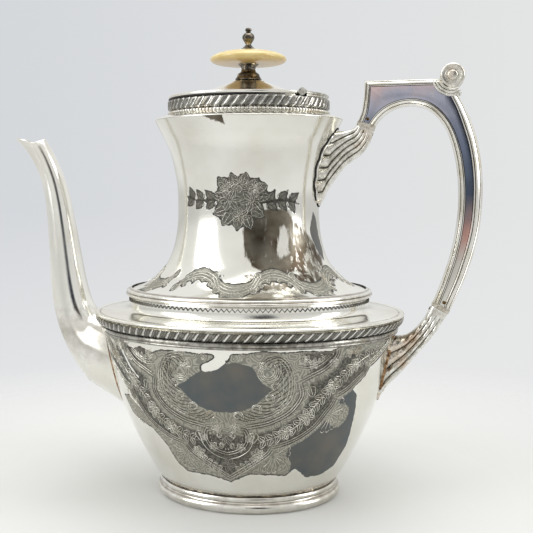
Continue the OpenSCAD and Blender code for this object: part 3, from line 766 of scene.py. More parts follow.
RISER_TOP = 111
riser = smooth([(76, 103.3), (70, 104), (67.6, 105.4), (66.9, 108), (66.9, RISER_TOP)], 5)
shoulder_profile = [(82.2, 100.45), (85, 100.45), (85.6, 101.4), (86.6, 101.9), (86.7, 102.6), (85.7, 103.3),
                    (84.3, 103.1), (83.7, 102.7), (83.1, 103.2)] + riser \
    + [(p.x - WALL, p.y - WALL * (RISER_TOP - p.y) / 7) for p in reversed(riser)]
lathe("shoulder_sheet", shoulder_profile, "silver", plate, "shoulder_plate", segments=300)
collar_line = [(66, 111.05), (67.1, 111.05), (67.4, 111.8)] + arc(68.4, 112.75, 0.85, -80, 70, 6) \
    + arc(67.9, 114.35, 0.8, -50, 80, 6) + [(67, 115.6), (65.9, 116.2)]
collar = lathe("collar_beads", collar_line, "silver_trim", plate, "neck_collar", segments=300, r=0.1)
# painted shade between and under the collar's beads, over a light darkening of the whole collar
paint(collar, "stain_and_shade", creases(collar, 0.2, (113.6, 1, 0.6), (111.5, 0.9, 0.7), (115.6, 0.8, 0.6)))
neck = lathe("neck_sheet", sheet(neck_points, WALL, 7), "silver", engraved, "neck", r=0, segments=360,
             sharp=40)
flange_line = [(41.9, 210.2), (43, 210.2), (48.4, 208.05), (52.3, 208.05), (52.2, 208.5), (44.9, 210.8),
               (44.6, 211.2), (41.9, 211.2)]
lathe("neck_top_flange", flange_line, "silver", plate, "neck_flange", segments=300)
rim_line = [(41.9, 211.2), (44.4, 211.2)] + arc(44.4, 211.9, 0.7, -80, 60, 6) \
    + [(43.9, 212.8), (43.6, 213.3), (41.9, 213.3)]
reeded("rim_beading", rim_line, 130, 0, 0.3, "silver_trim", "rim_moulding", ((0.0, 0.06), (1.0, 0.06)), 0.0,
       6, mat=cast_with_painted_highlight)
rim_reed = [(42.4, 213.3)] + arc(43.0, 216.15, 2.9, -70, 70, 11) + [(42.4, 219), (41.9, 219), (41.9, 213.3)]
rim_reed = [(min(x, 44.9) if x > 43.5 else x, z) for x, z in rim_reed]
reeded("rim_gadroons", rim_reed, 58, 1.1, 0.8, "silver_trim", "rim_gadroon",
       ((0.2, 0.07), (0.45, 0.06), (0.68, 0.06), (0.9, 0.07)), 0.08, 20, 3, dusk=0.36)


# ---------------------------------------------------------------- lid

dome = smooth([(38, 221.7), (30, 222.4), (24.5, 223.7), (20, 225.3), (15, 227.3), (11.6, 228.6), (8.9, 229.7),
               (5, 230)], 5)
lid_profile = [(0, 228.9)] + beside(dome, 1.1)[::-1] \
    + [(39.4, 219.9), (43.7, 219.9), (44.1, 220), (44.3, 220.3), (44.3, 221), (44.1, 221.35), (43.7, 221.5),
       (40.5, 221.6)] + dome + [(0, 230)]
LID_END = 0.0306       # metres from the axis to where the lid is cut off in front of its hinge
lid = lathe("lid_dome", lid_profile, "silver", plate, "lid_shell", body="lid", r=0, ends="points", sharp=40)
deselect()
lid.select_set(True)
bpy.context.view_layer.objects.active = lid
bpy.ops.object.mode_set(mode="EDIT")
bpy.ops.mesh.select_all(action="SELECT")
bpy.ops.mesh.bisect(plane_co=(LID_END, 0, 0), plane_no=(1, 0, 0), use_fill=True, clear_outer=True)
bpy.ops.mesh.select_all(action="SELECT")
bpy.ops.mesh.normals_make_consistent(inside=False)
bpy.ops.object.mode_set(mode="OBJECT")

stem = [(0, 230.0), (6.4, 230.0), (6.8, 230.1), (7.3, 230.5), (7.35, 230.8), (7.1, 231.2)] \
    + smooth([(6.4, 232.2), (5.9, 233.6), (4.4, 234.7), (3.9, 236.2), (4.3, 237.6), (5.4, 238.6)], 5) \
    + [(5.6, 239), (0, 239)]
lathe("finial_foot", stem, "aged_silver", dark_turning, "finial_stem", body="lid", r=0, segments=96, oval=1,
      ends="points")
button = [(0, 239), (13.6, 239), (14.2, 239.05), (18.4, 239.5)] \
    + smooth([(19.4, 239.85), (20.2, 240.3), (20.85, 241.1), (20.9, 241.9), (20.4, 242.7), (17.6, 244.3),
              (13, 245.5), (9, 246.1), (5.2, 246.38)], 4) + [(0, 246.4)]
lathe("finial_disc", button, "ivory", ivory, "finial_button", body="lid", r=0, segments=128, oval=1,
      ends="points")
cap = [(0, 246.42), (4.6, 246.42), (4.8, 246.6), (4.75, 246.9)] \
    + smooth([(4.5, 247.1), (3, 248.1), (1.7, 249.4), (1.7, 250.2), (2.6, 251.6), (3.3, 253), (3.35, 254),
              (2.8, 255.2), (1.5, 256.2), (1.2, 256.6), (1.8, 257.4), (1.6, 258.2), (0.9, 258.7)], 4) \
    + [(0, 258.8)]
lathe("finial_urn", cap, "aged_silver", dark_turning, "finial_cap", body="lid", r=0, segments=72, oval=1,
      ends="points")


# ---------------------------------------------------------------- spout

spout_stations = [(-93, 58.6, -87.6, 98.6, 16.4), (-101.6, 69.4, -89, 99.4, 14.2),
                  (-109, 82, -91, 101.8, 12.4), (-114.4, 97, -93.8, 107, 11),
                  (-116.9, 114, -96.6, 117.2, 9.9), (-117.7, 131.8, -99.4, 131.6, 8.9),
                  (-118.6, 148.4, -102.2, 147.6, 8), (-119.8, 163, -105.4, 163.6, 7.2),
                  (-122, 174.6, -109, 176.6, 6.5), (-125.6, 183.6, -113.6, 187.6, 6.1),
                  (-131, 192.4, -118, 195.8, 5.8), (-138.7, 200.2, -120.2, 199.6, 5.5)]
SPOUT_SIDES = 56


def squared(value, power):
    return (1 if value >= 0 else -1) * abs(value) ** (2 / power)


def spout_ring(s, inset):
    a, b = Vector((s[0], s[1])), Vector((s[2], s[3]))
    way, mid, half = (b - a).normalized(), (a + b) / 2, (b - a).length / 2 - inset
    dip = 2.7 * max(0.0, (s[3] - 196) / 3.6) ** 1.5
    ring = []
    for i in range(SPOUT_SIDES):
        t = 2 * pi * i / SPOUT_SIDES
        p = mid - way * half * squared(cos(t), 2.15)
        notch = dip * abs(sin(t)) ** 0.6 * max(0.0, 1 - abs(cos(t) + 0.3) / 1.15)
        ring.append((p.x + notch * 0.3, squared(sin(t), 2.15) * (s[4] - inset), p.y - notch))
    return ring


def landing_half(z):
    if z < 91.5:
        return half_at(body_table, z) + 0.15
    return float(np.interp(z, (91.5, 92.6, 95.8, 98.6), (half_at(body_table, 92) + 0.15, 84.1, 84.3, 86.3)))


def landing_ring(inset):
    ring = []
    for i in range(SPOUT_SIDES):
        t = 2 * pi * i / SPOUT_SIDES
        y, z = sin(t) * (19 - inset), 71 - cos(t) * (27 - inset)
        a = landing_half(z)
        ring.append((-a * sqrt(1 - (y / (OVAL * a)) ** 2), y, z))
    return ring


stations = smooth(spout_stations, 5)
spout_rings = [landing_ring(0)] + [spout_ring(s, 0) for s in stations] \
    + [spout_ring(s, 0.9) for s in reversed(stations)] + [landing_ring(2)]
spout = rings_to_piece("swan_spout", spout_rings, "loop", 60)
# painted darker reflection on the spout's lower part, strongest 88 mm up
paint(spout, "stain_and_shade", [0.42 * max(0.0, 1 - abs(p[2] - 88) / 22) for p in points_of(spout)])
dress(spout, "pot", "silver", plate)
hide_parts("spout_near_half", "spout_far_half")


# ---------------------------------------------------------------- handle

def joint_edge(centre, way, across, lift):
    return Vector(centre) + Vector((-way[1], way[0])) * across + Vector(way) * lift


upper, upper_way, upper_half = (64.9, 204.6), (0.29997, 0.95395), 4.7
lower, lower_way, lower_half = (106, 107), (0.46393, 0.88587), 4.9
LIFT = 1.25


def spaced(points, n):
    """n + 1 points evenly along a run."""
    runs = [0]
    for p, q in zip(points, points[1:]):
        runs.append(runs[-1] + (Vector(q) - Vector(p)).length)
    at = np.linspace(0, runs[-1], n + 1)
    return [Vector([float(np.interp(t, runs, [p[c] for p in points])) for c in range(len(points[0]))])
            for t in at]


corner = (64.1, 228.2)
grip_back = smooth([joint_edge(upper, upper_way, upper_half, LIFT), (62.6, 212), (63.5, 218), corner], 6)
grip_outer = smooth([(108, 227.6), (112, 221.5), (116.6, 213.5), (121.2, 202.6), (124.4, 190.7), (126.2, 177),
                     (126.4, 164), (125.3, 149.6), (122.4, 136), (118.3, 123), (114.3, 113.4),
                     joint_edge(lower, lower_way, -lower_half, LIFT)], 6)
grip_inner = smooth([joint_edge(upper, upper_way, -upper_half, LIFT), (73, 208.6), (78.1, 212.4),
                     (84.9, 214.6), (91.8, 214.6), (98.4, 212.2), (104.3, 206.6), (108.7, 198.7),
                     (111.9, 188), (113.8, 175.5), (114.2, 162), (113, 148), (110.4, 135), (106.5, 122.2),
                     joint_edge(lower, lower_way, lower_half, LIFT)], 6)
grip_top = [(68.2, 228.24), (101, 228.6), (108, 227.6)]
outer_line = spaced(grip_back, 24)[:20] + [Vector(corner)] + spaced(grip_top, 19) + spaced(grip_outer, 70)[1:]
inner_line = spaced(grip_inner[:13], 20)[:-1] + spaced(grip_inner[12:37], 20) \
    + spaced(grip_inner[36:], 70)[1:]
# distance in from the edge, half depth, whether the point lies in a dark line of oxide and painted shade,
# whether it lies on the panel
MOULDING = [(0, 3.4, 0, 0), (0.3, 4.8, 0, 0), (0.7, 5.4, 0, 0), (0.95, 5.2, 1, 0), (1.2, 5.5, 0, 0),
            (1.7, 6.0, 0, 0), (2.3, 5.8, 0, 0), (2.6, 5.3, 1, 0), (2.85, 5.5, 0, 0), (3.1, 5.45, 0, 0),
            (3.35, 5.0, 1, 1), (3.7, 5.1, 0, 1)]


def grip_ring(i):
    at_end = i in (0, len(outer_line) - 1)
    run = inner_line[i] - outer_line[i]
    ring = []
    for side in (1, -1):
        half = []
        for line, sets, sign in ((outer_line, outer_sets, 1), (inner_line, inner_sets, -1)):
            points = []
            for k, (d, depth, *_) in enumerate(MOULDING):
                p = line[i] + run * sign * d / run.length if at_end else sets[k][i]
                points.append((p.x, side * depth, p.y))
            half += points if sign == 1 else points[::-1]
        ring += half if side == 1 else half[::-1]
    return ring


def broadened(line, way, widths):
    """One offset line for each moulding point; widths scale the moulding along the line."""
    inward = [q - p for p, q in zip(line, beside(line, way))]
    return [[p + v * d * w for p, v, w in zip(line, inward, widths)] for d, *_ in MOULDING]


along = np.arange(len(outer_line))
outer_sets = broadened(outer_line, -1, np.interp(along, (40, 54, 96, 110), (1, 1.45, 1.4, 1.15)))
inner_sets = broadened(inner_line, 1, np.interp(along, (40, 54, 110), (1, 1.06, 1)))
grip_rings = [grip_ring(i) for i in range(len(outer_line))]
grip = rings_to_piece("grip", grip_rings, "fill", 35)


def spread(values):
    """Values for the points of a grip ring, from those for one moulding."""
    half = values + values[::-1]
    return half + half[::-1]


carry(grip, grip_rings, "oxide_and_shade", [spread([float(m[2]) for m in MOULDING])] * len(grip_rings))
carry(grip, grip_rings, "panel", [spread([float(m[3]) for m in MOULDING])] * len(grip_rings))
dress(grip, "pot", "silver", panel)
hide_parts("grip_near_half", "grip_far_half")

roll = [(0, 7.3), (2.0, 7.3), (2.45, 7.1), (2.65, 6.6), (2.8, 6.25), (3.6, 6.2), (4.8, 6.35), (5.6, 6.5),
        (6.15, 6.2), (6.4, 5.5), (6.3, 3), (6.2, 0)]
roll += [(r, -y) for r, y in reversed(roll[:-1])]
ROLL_X, ROLL_Z = 109.8, 230         # the axis of the roll, in millimetres
roll_rings = [[(ROLL_X + r * cos(2 * pi * i / 72), y, ROLL_Z + r * sin(2 * pi * i / 72)) for i in range(72)]
              for r, y in roll]
thumb = rings_to_piece("thumb_roll", roll_rings, "points", 45)
dress(thumb, "pot", "silver", cast_with_painted_highlight)
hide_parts("thumb_scroll")
rolls = []
for side in (1, -1):
    rolls.append([(ROLL_X + p[0], side * 6.3, ROLL_Z + p[1]) for p in volute(0, 0, 5.9, 200, 1.6, -1, 0.5)])
threads("thumb_roll_lines", rolls, 0.22, "pot", "silver_trim", line_metal)


def socket(name, top, under, plan, lobes, swell, wall_table, node, n=36, fringe=0.0):
    """A cast socket: its sides fan out in lobes from the handle joint to the vessel's wall."""
    top, under = spaced(smooth(top, 5), n), spaced(smooth(under, 5), n)
    steps = lobes * 8
    rings, marks = [], []
    for i in range(n + 1):
        s = i / n
        side, dark = [], []
        for k in range(steps + 1):
            v = k / steps
            p = top[i].lerp(under[i], v)
            depth = float(np.interp(p.x, [a for a, _ in plan], [b for _, b in plan]))
            square = (1 - abs(2 * v - 1) ** 5) ** 0.2
            wave = abs(sin(pi * lobes * v))
            grow = min(1, s * 4) * swell
            frill = fringe * sin(s * 40) * min(1, s * 3)
            y = (depth - grow * (1 - wave) * (1 + s)) * square + frill * wave
            x, z = p.x, p.y
            if i == n:
                a = half_at(wall_table, z)
                y = min(y, a * OVAL * 0.6)
                x = a * sqrt(1 - (y / (OVAL * a)) ** 2) - 0.5
            side.append((x, y, z))
            # painted shade with oxide in the valleys between the lobes
            dark.append(1.0 if 0.06 < s and wave < 0.3 and 0 < k < steps else 0.0)
        rings.append(side + [(x, -y, z) for x, y, z in reversed(side[1:-1])])
        marks.append(dark + dark[1:-1][::-1])
    piece = rings_to_piece(name, rings, "fill", 50)
    carry(piece, rings, "oxide_and_shade", marks)
    dress(piece, "pot", "silver_trim", cast_with_painted_highlight)
    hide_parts(node)
    return piece


socket("shell_socket",
       [joint_edge(upper, upper_way, upper_half, -LIFT), (58, 203.3), (55.6, 202.5), (51.5, 202.1),
        (48.4, 202.0)],
       [joint_edge(upper, upper_way, -upper_half, -LIFT), (66.8, 194.8), (62.6, 189.2), (57.6, 185.6),
        (52.8, 181.4), (47, 173.8), (43.6, 168.6), (41.2, 163.4), (39.0, 161.8)],
       [(36, 8.6), (46, 7.8), (58, 5.6), (72, 5.1)], 6, 0.8, neck_table, "upper_socket")
socket("leaf_socket",
       [joint_edge(lower, lower_way, lower_half, -LIFT), (97.4, 101), (92.4, 94.8), (87.6, 91.4),
        (82.2, 90.6), (80.6, 90.4)],
       [joint_edge(lower, lower_way, -lower_half, -LIFT), (103, 92.5), (95.1, 82.4), (85.9, 71.4),
        (77.8, 62.6), (73.2, 55.2), (72.2, 54.2)],
       [(64, 8.4), (82, 8.4), (94, 6), (112, 5.1)], 4, 0.7, body_table, "lower_socket", fringe=0.35)


# ---------------------------------------------------------------- engraving

NECK_MM = 0.66         # millimetres per degree on the neck's waist
FLARE_MM = 0.92        # millimetres per degree at the neck's foot


def mm(points, per=DEG_MM):
    """Degrees round the vessel to surface millimetres."""
    return [(p[0] * per,) + tuple(p[1:]) for p in points]


def bent(points, per=DEG_MM, n=6):
    return [Vector(p[:2]) for p in smooth(mm(points, per), n)]


def engrave(name, table, runs, r, out, mat, per=DEG_MM, gap=1.3):
    """Raised cut lines on both faces of an oval shell."""
    shaped = []
    for run in runs:
        line = dense([(p[0], p[1]) for p in run], gap)
        for side in (-1, 1):
            shaped.append([on_oval(table, u, z, out, side, per) for u, z in line])
    return threads(name, shaped, r, "pot", "silver_trim", mat, 0)


def comb(start, end, bow, count):
    """Curved hatch lines from one run to another."""
    runs = []
    for k in range(count):
        t = k / (count - 1)
        a, b = spot_on(start, t), spot_on(end, t)
        c = (a + b) / 2 + Vector((-(b - a).y, (b - a).x)) * bow
        runs.append([a, a * 0.36 + c * 0.48 + b * 0.16, a * 0.12 + c * 0.46 + b * 0.42, b.lerp(a, 0.06)])
    return runs


def spot_on(run, t):
    k = min(int(t * (len(run) - 1)), len(run) - 2)
    return Vector(run[k][:2]).lerp(Vector(run[k + 1][:2]), t * (len(run) - 1) - k)


def length_of(run):
    return sum((q - p).length for p, q in zip(run, run[1:]))


def sprig(path, size, gap, spread=52, fat=0.34):
    """A stem with a pair of leaves at every step."""
    line = spaced(path, max(2, int(length_of(path) / gap)))
    runs = [path]
    for a, b in zip(line, line[1:]):
        way = degrees(atan2((b - a).y, (b - a).x))
        for hand in (1, -1):
            runs += leaf(a.x, a.y, size, way + hand * spread, fat)
    return runs


outer_arcs = [bent(arc_points) for arc_points in (
    [(80, 91.5), (74, 86), (67, 81.5), (62, 79)], [(62, 79), (60.5, 75), (56, 71), (51.5, 67), (47, 64.5)],
    [(47, 64.5), (45.5, 60), (43.5, 57), (38.5, 48.5), (30, 41.5), (21, 38)],
    [(21, 38), (19.5, 35), (16, 31.5), (10, 26.5), (0, 19.2)])]
inner_arcs = [bent(arc_points) for arc_points in (
    [(44, 91), (43.5, 87), (39, 81), (33.5, 77.5), (29.5, 75)],
    [(29.5, 75), (30.8, 69), (29, 63), (25, 57.5), (18, 53), (11, 51), (8.5, 50.5)])]
heart_arc = bent([(6.2, 51), (8.6, 50.4), (9.8, 46), (8.6, 40.5), (4.8, 36.8), (0, 35)])
lines, darker = [], []
for line in outer_arcs:
    lines += [beside(line, -d) for d in (0.8, 2.1, 3.4)]
    darker += [beside(line, -d) for d in (1.45, 2.75, 4.15)]
for line in inner_arcs:
    lines += [beside(line, -d) for d in (0.6, 1.9)]
    darker += [beside(line, -d) for d in (-0.1, 1.25, 2.6)]
lines += [beside(heart_arc, -d) for d in (0.5, 1.8)]
darker += [beside(heart_arc, -d) for d in (-0.1, 1.15, 2.5)]
lines += [beside(heart_arc, 2.2)[6:]]
big_c = bent([(13.5, 90), (18, 90), (22.5, 87.5), (25.6, 81), (26.6, 73), (25.6, 66), (22, 60.5), (17, 57),
              (10, 54.6)])
lines += [beside(big_c, -d) for d in (0, 1.2)]
for k in range(4):
    lines.append(volute(21.2, 80.8, 7.4 - 1.15 * k, 60, 1.05 - 0.1 * k, -1, 0.42))
for cu, cz, r, start, hand in ((25, 73.2, 3.6, -60, 1), (22.4, 67.2, 3.6, -70, 1), (15.8, 61.6, 3.9, -60, 1),
                               (6.6, 57.6, 3.8, -50, 1), (9, 88, 2.7, 20, 1), (37.5, 86.4, 3.4, 100, -1),
                               (47, 86.6, 2.7, 100, -1), (4.2, 46.8, 2.6, 60, 1), (3.4, 41.2, 2.2, -60, -1)):
    lines += [volute(cu, cz, r - 1.0 * k, start, 1.0, hand, 0.25) for k in range(2)]
darker += comb(big_c[8:], bent([(18.5, 72.5), (14, 66), (9, 61), (3.5, 58.6)]), 0.22, 14)
darker += comb(bent([(22, 88.5), (26, 82)]), bent([(13, 84.5), (21, 77.5)]), -0.35, 8)
lines += [beside(big_c, -2.6)[4:-4], beside(big_c, -5.4)[10:-8]]
side_scroll = bent([(27, 82.6), (31.5, 81.8), (36, 83.6), (40, 87.5)])
lines += [beside(side_scroll, d) for d in (0, 1.2, 2.4)]
trail = bent([(70, 86.8), (60, 85.4), (51.5, 80.6), (46.6, 75.2), (41, 69.4), (35.6, 61.5), (32, 54.4),
              (25.4, 48.6), (18, 44.6), (13, 42.6)])
lines += sprig(trail, 4.6, 4.1)
for t, z, size in ((52.5, 81.3, 4.2), (42.6, 71.4, 4.6), (33, 56.4, 5.2), (24.8, 48.4, 4.4),
                   (13.4, 35.6, 4.2), (0, 29.4, 4.6), (0, 45.4, 4.6)):
    lines += flower(t * DEG_MM, z, size, 6, t * 7)
lines += sprig(bent([(16, 37.6), (11, 31.4), (3, 25.6)]), 3.4, 3.2)
lines += shell_fan(43.6 * DEG_MM, 57, 9.5, -30, 9, 120) + shell_fan(20.6 * DEG_MM, 35.4, 9.5, -48, 9, 120)
for t, z in ((6, 40), (14, 84), (30, 86.6), (33.5, 84.6), (42, 84.5), (48.5, 88.6), (53, 88.8), (4, 51.6),
             (10, 45.5)):
    lines += flower(t * DEG_MM, z, 3.0, 5, t * 9)
lines += leaf(33 * DEG_MM, 72.6, 6, -68, 0.4) + leaf(12.4 * DEG_MM, 48.6, 7, -112, 0.36)
lines = both([[tuple(p[:2]) for p in run] for run in lines])
darker = both([[tuple(p[:2]) for p in run] for run in darker])
engrave("panel_cut_lines", body_table, lines, 0.25, 0.06, line_metal)
engrave("panel_dark_lines", body_table, darker, 0.19, 0.05, line_dark)

dots = []
for line, gap in ((beside(inner_arcs[1], -4.2), 1.9), (beside(inner_arcs[0], -4), 2.0),
                  (beside(heart_arc, -3.8)[4:], 1.7)):
    places = spaced(line, int(length_of(line) / gap))
    dots += [[(p.x - 0.15, p.y), (p.x + 0.15, p.y)] for p in places]
engrave("panel_bead_dots", body_table, both(dots), 0.42, 0.0, bead_metal)


def angles_of(piece, per):
    """Surface millimetres round the vessel of a piece's points, and the points with their heights."""
    xyz = points_of(piece)
    return np.degrees(np.arctan2(xyz[:, 0], np.abs(xyz[:, 1]) / OVAL)) * per, xyz


u, xyz = angles_of(body, DEG_MM)
z = xyz[:, 2]
outside = np.hypot(xyz[:, 0], xyz[:, 1] / OVAL) > np.interp(z, *body_table) - 0.5
right_edge = [p for arc_line in outer_arcs for p in arc_line]
left_edge = [Vector((-p.x, p.y)) for p in reversed(right_edge)]
top_edge = mm([(-80, 92.5), (-45, 92.5), (-44, 89), (-38, 88.2), (-34, 89.8), (-28, 87.5), (-24, 89.6),
               (-14, 89.8), (-8, 89.2), (-3.4, 89.4), (-2.6, 86), (2.6, 86), (3.4, 89.6), (9, 90), (14, 91.4),
               (22, 90.4), (30, 90.8), (40, 89.8), (45, 92.5), (80, 92.5)])
shape = [tuple(p[:2]) for p in right_edge + left_edge[1:]] + top_edge
ground = outline_field(u, z, shape) + 0.7
left_hem = mm([(-47, 62), (-56, 60), (-52, 50), (-44, 47), (-38, 45), (-32, 37), (-29, 27), (-24, 22.5),
               (-10, 22), (0, 19), (0, 35), (-22, 40), (-40, 52)])
ground = np.maximum(ground, outline_field(u, z, left_hem))
stain_and_shade = mm([(53, 69.5), (57.5, 65), (60, 52), (64, 35), (61, 23.5), (52, 19.6), (41, 20), (37, 23.6),
            (33, 26.5), (29, 22.6), (20, 23.4), (10, 24), (0, 19), (0, 30), (20, 39), (31, 44), (40, 54),
            (46, 64)])
near_side = xyz[:, 1] < 0
dark_patch = np.where(near_side, outline_field(u, z, stain_and_shade), -50)
ground = np.maximum(ground, dark_patch)
cartouche = mm([(-7, 82), (-2, 82.6), (0, 84.5), (5, 86), (11, 83.5), (13, 78), (15, 74.5), (18.5, 72.5),
                (15.5, 68.5), (12, 63.8), (8, 60.8), (4, 59.6), (0, 59.8), (-4, 59.6), (-8, 60.8),
                (-12, 63.8), (-15.5, 68.5), (-18.5, 72.5), (-15, 74.5), (-12.5, 77)])
fans = stroke_field(u, z, [mm([(43.5, 58, 5), (50, 54.5, 6.5)]), mm([(20, 36, 5), (25.5, 27.5, 6.5)])])
outer_dark = np.minimum(dark_patch, -outline_field(u, z, shape) - 0.8)
outer_dark = np.minimum(outer_dark, np.minimum(-fans, u - 27 * DEG_MM))
field = np.maximum(outline_field(u, z, cartouche), outer_dark)
bare = stroke_field(u, z, [mm(run) for run in (
    [(-0.5, 93, 3.0), (-0.5, 87, 2.6), (-2.5, 84.6, 2.6), (-6.5, 82.4, 2.0)],
    [(-48.5, 92, 1.0), (-46.5, 85, 0.9), (-43, 78, 0.8), (-38, 72.5, 0.4)],
    [(-62, 76, 1.0), (-52, 66, 0.9), (-44, 57, 0.7), (-38, 50, 0.2)], [(-57, 91, 0.9), (-53, 86, 0.7)])])
ground = np.minimum(ground, -bare)
inner_shape = [tuple(p[:2]) for arc_line in inner_arcs for p in arc_line]
inner_shape = inner_shape + mirrored(inner_shape)[::-1]
trail_gap = np.minimum(outline_field(u, z, shape) - 4.2, -outline_field(u, z, inner_shape) - 3.2)
upper_gap = stroke_field(np.abs(u), z, [mm([(34, 88, 7), (44, 88, 3)])])
upper_gap = np.minimum(outline_field(u, z, inner_shape) - 1, upper_gap)
paint(body, "zone", np.clip(0.5 - np.maximum(trail_gap, upper_gap) / 0.8, 0, 1))
paint(body, "ground", np.where(outside, ground, -50))
paint(body, "field", np.where(outside, field, -50))

# spray of flowers on the neck
LEAF_GAP, LEAF_SPREAD = 5.4, 46     # millimetres between pairs of leaves, degrees from the stem
spray_strokes, spray, petals = [], [], []
for size, spots in ((6.2, ((-5, 165), (12, 164.6))),
                    (4.6, ((2.5, 173), (3.6, 156.6), (-8, 171.5), (14.5, 171)))):
    for t, h in spots:
        petals += flower(t * NECK_MM, h, size, 6, t * 11)
        spray_strokes.append([(t * NECK_MM, h, size * 0.8), (t * NECK_MM + 0.1, h, size * 0.8)])
for stem_line in ([(-8, 164), (-20, 165), (-33, 164.6), (-48, 167)],
                  [(14, 164), (24, 163.8), (37, 165), (52, 163)]):
    path = bent(stem_line, NECK_MM)
    spray += sprig(path, 7.0, LEAF_GAP, LEAF_SPREAD, 0.34)
    steps = spaced(path, max(2, int(length_of(path) / LEAF_GAP)))
    for p, q in zip(steps, steps[1:]):
        way = atan2((q - p).y, (q - p).x)
        for hand in (1, -1):
            a = way + hand * radians(LEAF_SPREAD)
            spray_strokes.append([(p.x, p.y, 0.3), (p.x + 3.2 * cos(a), p.y + 3.2 * sin(a), 2.0),
                                  (p.x + 7.2 * cos(a), p.y + 7.2 * sin(a), 0.2)])
    spray_strokes.append([(p.x, p.y, 0.35) for p in path])
for t, h, size, angle in ((-6, 170, 8.5, 128), (-1, 172, 7, 104), (5, 172.5, 7, 74), (9, 170, 8, 50),
                          (14, 170, 7.5, 22), (-8, 160, 7.5, 200), (-4, 158, 8, 236), (2, 157, 8, 264),
                          (7, 157, 8, 292), (12, 160, 7.5, 328), (-9, 166, 7, 168), (16, 166, 7, 8)):
    petals += leaf(t * NECK_MM, h, size * 0.94, angle, 0.36)
    a = radians(angle)
    middle = (t * NECK_MM + size * 0.45 * cos(a), h + size * 0.45 * sin(a), size * 0.4)
    tip = (t * NECK_MM + size * cos(a), h + size * sin(a), 0.2)
    spray_strokes.append([(t * NECK_MM, h, 0.6), middle, tip])
engrave("neck_spray_lines", neck_table, spray, 0.15, 0.04, line_dark, NECK_MM, 0.9)
engrave("neck_petal_lines", neck_table, petals, 0.15, 0.04, line_metal, NECK_MM, 0.9)

# running scrolls round the neck's foot: alternate humps and cups
scrolls, scroll_strokes = [], []
for shift, hump in ((-56, -1), (-21, 1), (2, -1), (25, 1), (50, -1), (74, 1), (-80, 1)):
    base, top = (119.4, 126.4) if hump == 1 else (125.6, 118.8)
    shoulder = (base + 2 * top) / 3
    crescent = bent([(shift - 13, base), (shift - 9, shoulder), (shift, top), (shift + 9, shoulder),
                     (shift + 13, base)], FLARE_MM)
    last = len(crescent) - 1
    scroll_strokes.append([(p.x, p.y, 0.5 + 2.9 * sin(pi * k / last)) for k, p in enumerate(crescent)])
    scrolls += [beside(crescent, d) for d in (-1.3, 0.0, 1.3)]
    for hand in (1, -1):
        end = (shift + hand * 13.5) * FLARE_MM
        scrolls += [volute(end, base, 2.6, 90 * hump, 1.1, hand * hump, 0.3)]
        scroll_strokes.append([(end - 0.1, base, 2.2), (end + 0.1, base, 2.2)])
    for k in (4, 9, 14, 19):
        p = beside(crescent, -2.7)[min(k, last - 1)]
        scroll_strokes.append([(p.x, p.y, 1.5), (p.x + 0.1, p.y, 1.5)])
        scrolls += [volute(p.x, p.y, 1.2, 0, 0.9, 1, 0.4, 10)]
    for k in range(3):
        at = shift - 12 + 2.2 * k
        twig = [(at * FLARE_MM, base + 0.6), ((at - 3) * FLARE_MM, base + 3.6 * hump)]
        scroll_strokes.append([(q[0], q[1], 0.28) for q in twig])
engrave("neck_scroll_lines", neck_table, scrolls, 0.24, 0.02, line_metal, FLARE_MM, 1.2)
u, xyz = angles_of(neck, NECK_MM)
z = xyz[:, 2]
outside = np.hypot(xyz[:, 0], xyz[:, 1] / OVAL) > np.interp(z, *neck_table) - 0.5
cluster = mm([(-11, 165), (-9, 170), (-6, 172.5), (-2, 173.5), (4, 174.5), (8, 173), (12, 172), (15, 169.5),
              (16.5, 165), (14, 161.5), (11, 158), (7, 156), (4, 154), (0, 154.5), (-4, 157), (-8, 160.5)],
              NECK_MM)
ground = np.maximum(stroke_field(u, z, spray_strokes) + 0.4, outline_field(u, z, cluster))
ground = np.maximum(ground, stroke_field(u / NECK_MM * FLARE_MM, z, scroll_strokes))
spray_zone = np.maximum(stroke_field(u, z, spray_strokes), outline_field(u, z, cluster))
paint(neck, "zone", np.where(spray_zone > -1.5, 0.12, 0.75))
strip = mm([(65, 149), (72, 159), (78, 154), (84, 138), (78, 132), (72, 137), (66, 146)], NECK_MM)
smear_and_reflection = np.where(xyz[:, 1] < 0, outline_field(u, z, strip), -50)
paint(neck, "ground", np.where(outside, np.maximum(ground, smear_and_reflection), -50))
paint(neck, "field", np.where(outside, np.minimum(smear_and_reflection, -ground), -50))
# tarnish on the neck's near face, partly a painted dark reflection
tarnish = mm([(7, 161), (5, 147), (7, 136), (11, 130), (23, 126.5), (40, 127), (62, 124), (78, 134),
              (64, 146), (55, 150.5), (47, 155), (41, 160)], NECK_MM)
low_stain = mm([(6, 127), (30, 127), (62, 126), (74, 122), (54, 116.8), (30, 119), (12, 119)], NECK_MM)
# painted dark reflection of the rim's shadow at the top of the neck
painted_rim_shadow = mm([(-19, 208.4), (-6, 208.4), (-5, 204), (-9, 204.6), (-14, 206.8)], NECK_MM)
haze = np.clip(outline_field(u, z, tarnish) / 2.4 + 0.45, 0, 1)
haze = haze * np.interp(u / NECK_MM, (30, 46, 70), (1, 0.78, 0.66))
rubbed_clean = mm([(37, 149, 1.2), (34.5, 138, 1.6)], NECK_MM)
haze = haze * np.clip(-stroke_field(u, z, [rubbed_clean]) / 3 + 0.15, 0.1, 1)
haze = np.maximum(haze, np.clip(outline_field(u, z, low_stain) / 2 + 0.4, 0, 0.72))
haze = np.maximum(haze, np.clip(outline_field(u, z, painted_rim_shadow) * 2 + 0.8, 0, 1))
paint(neck, "smear_and_reflection", np.where(outside & (xyz[:, 1] < 0), haze, 0))


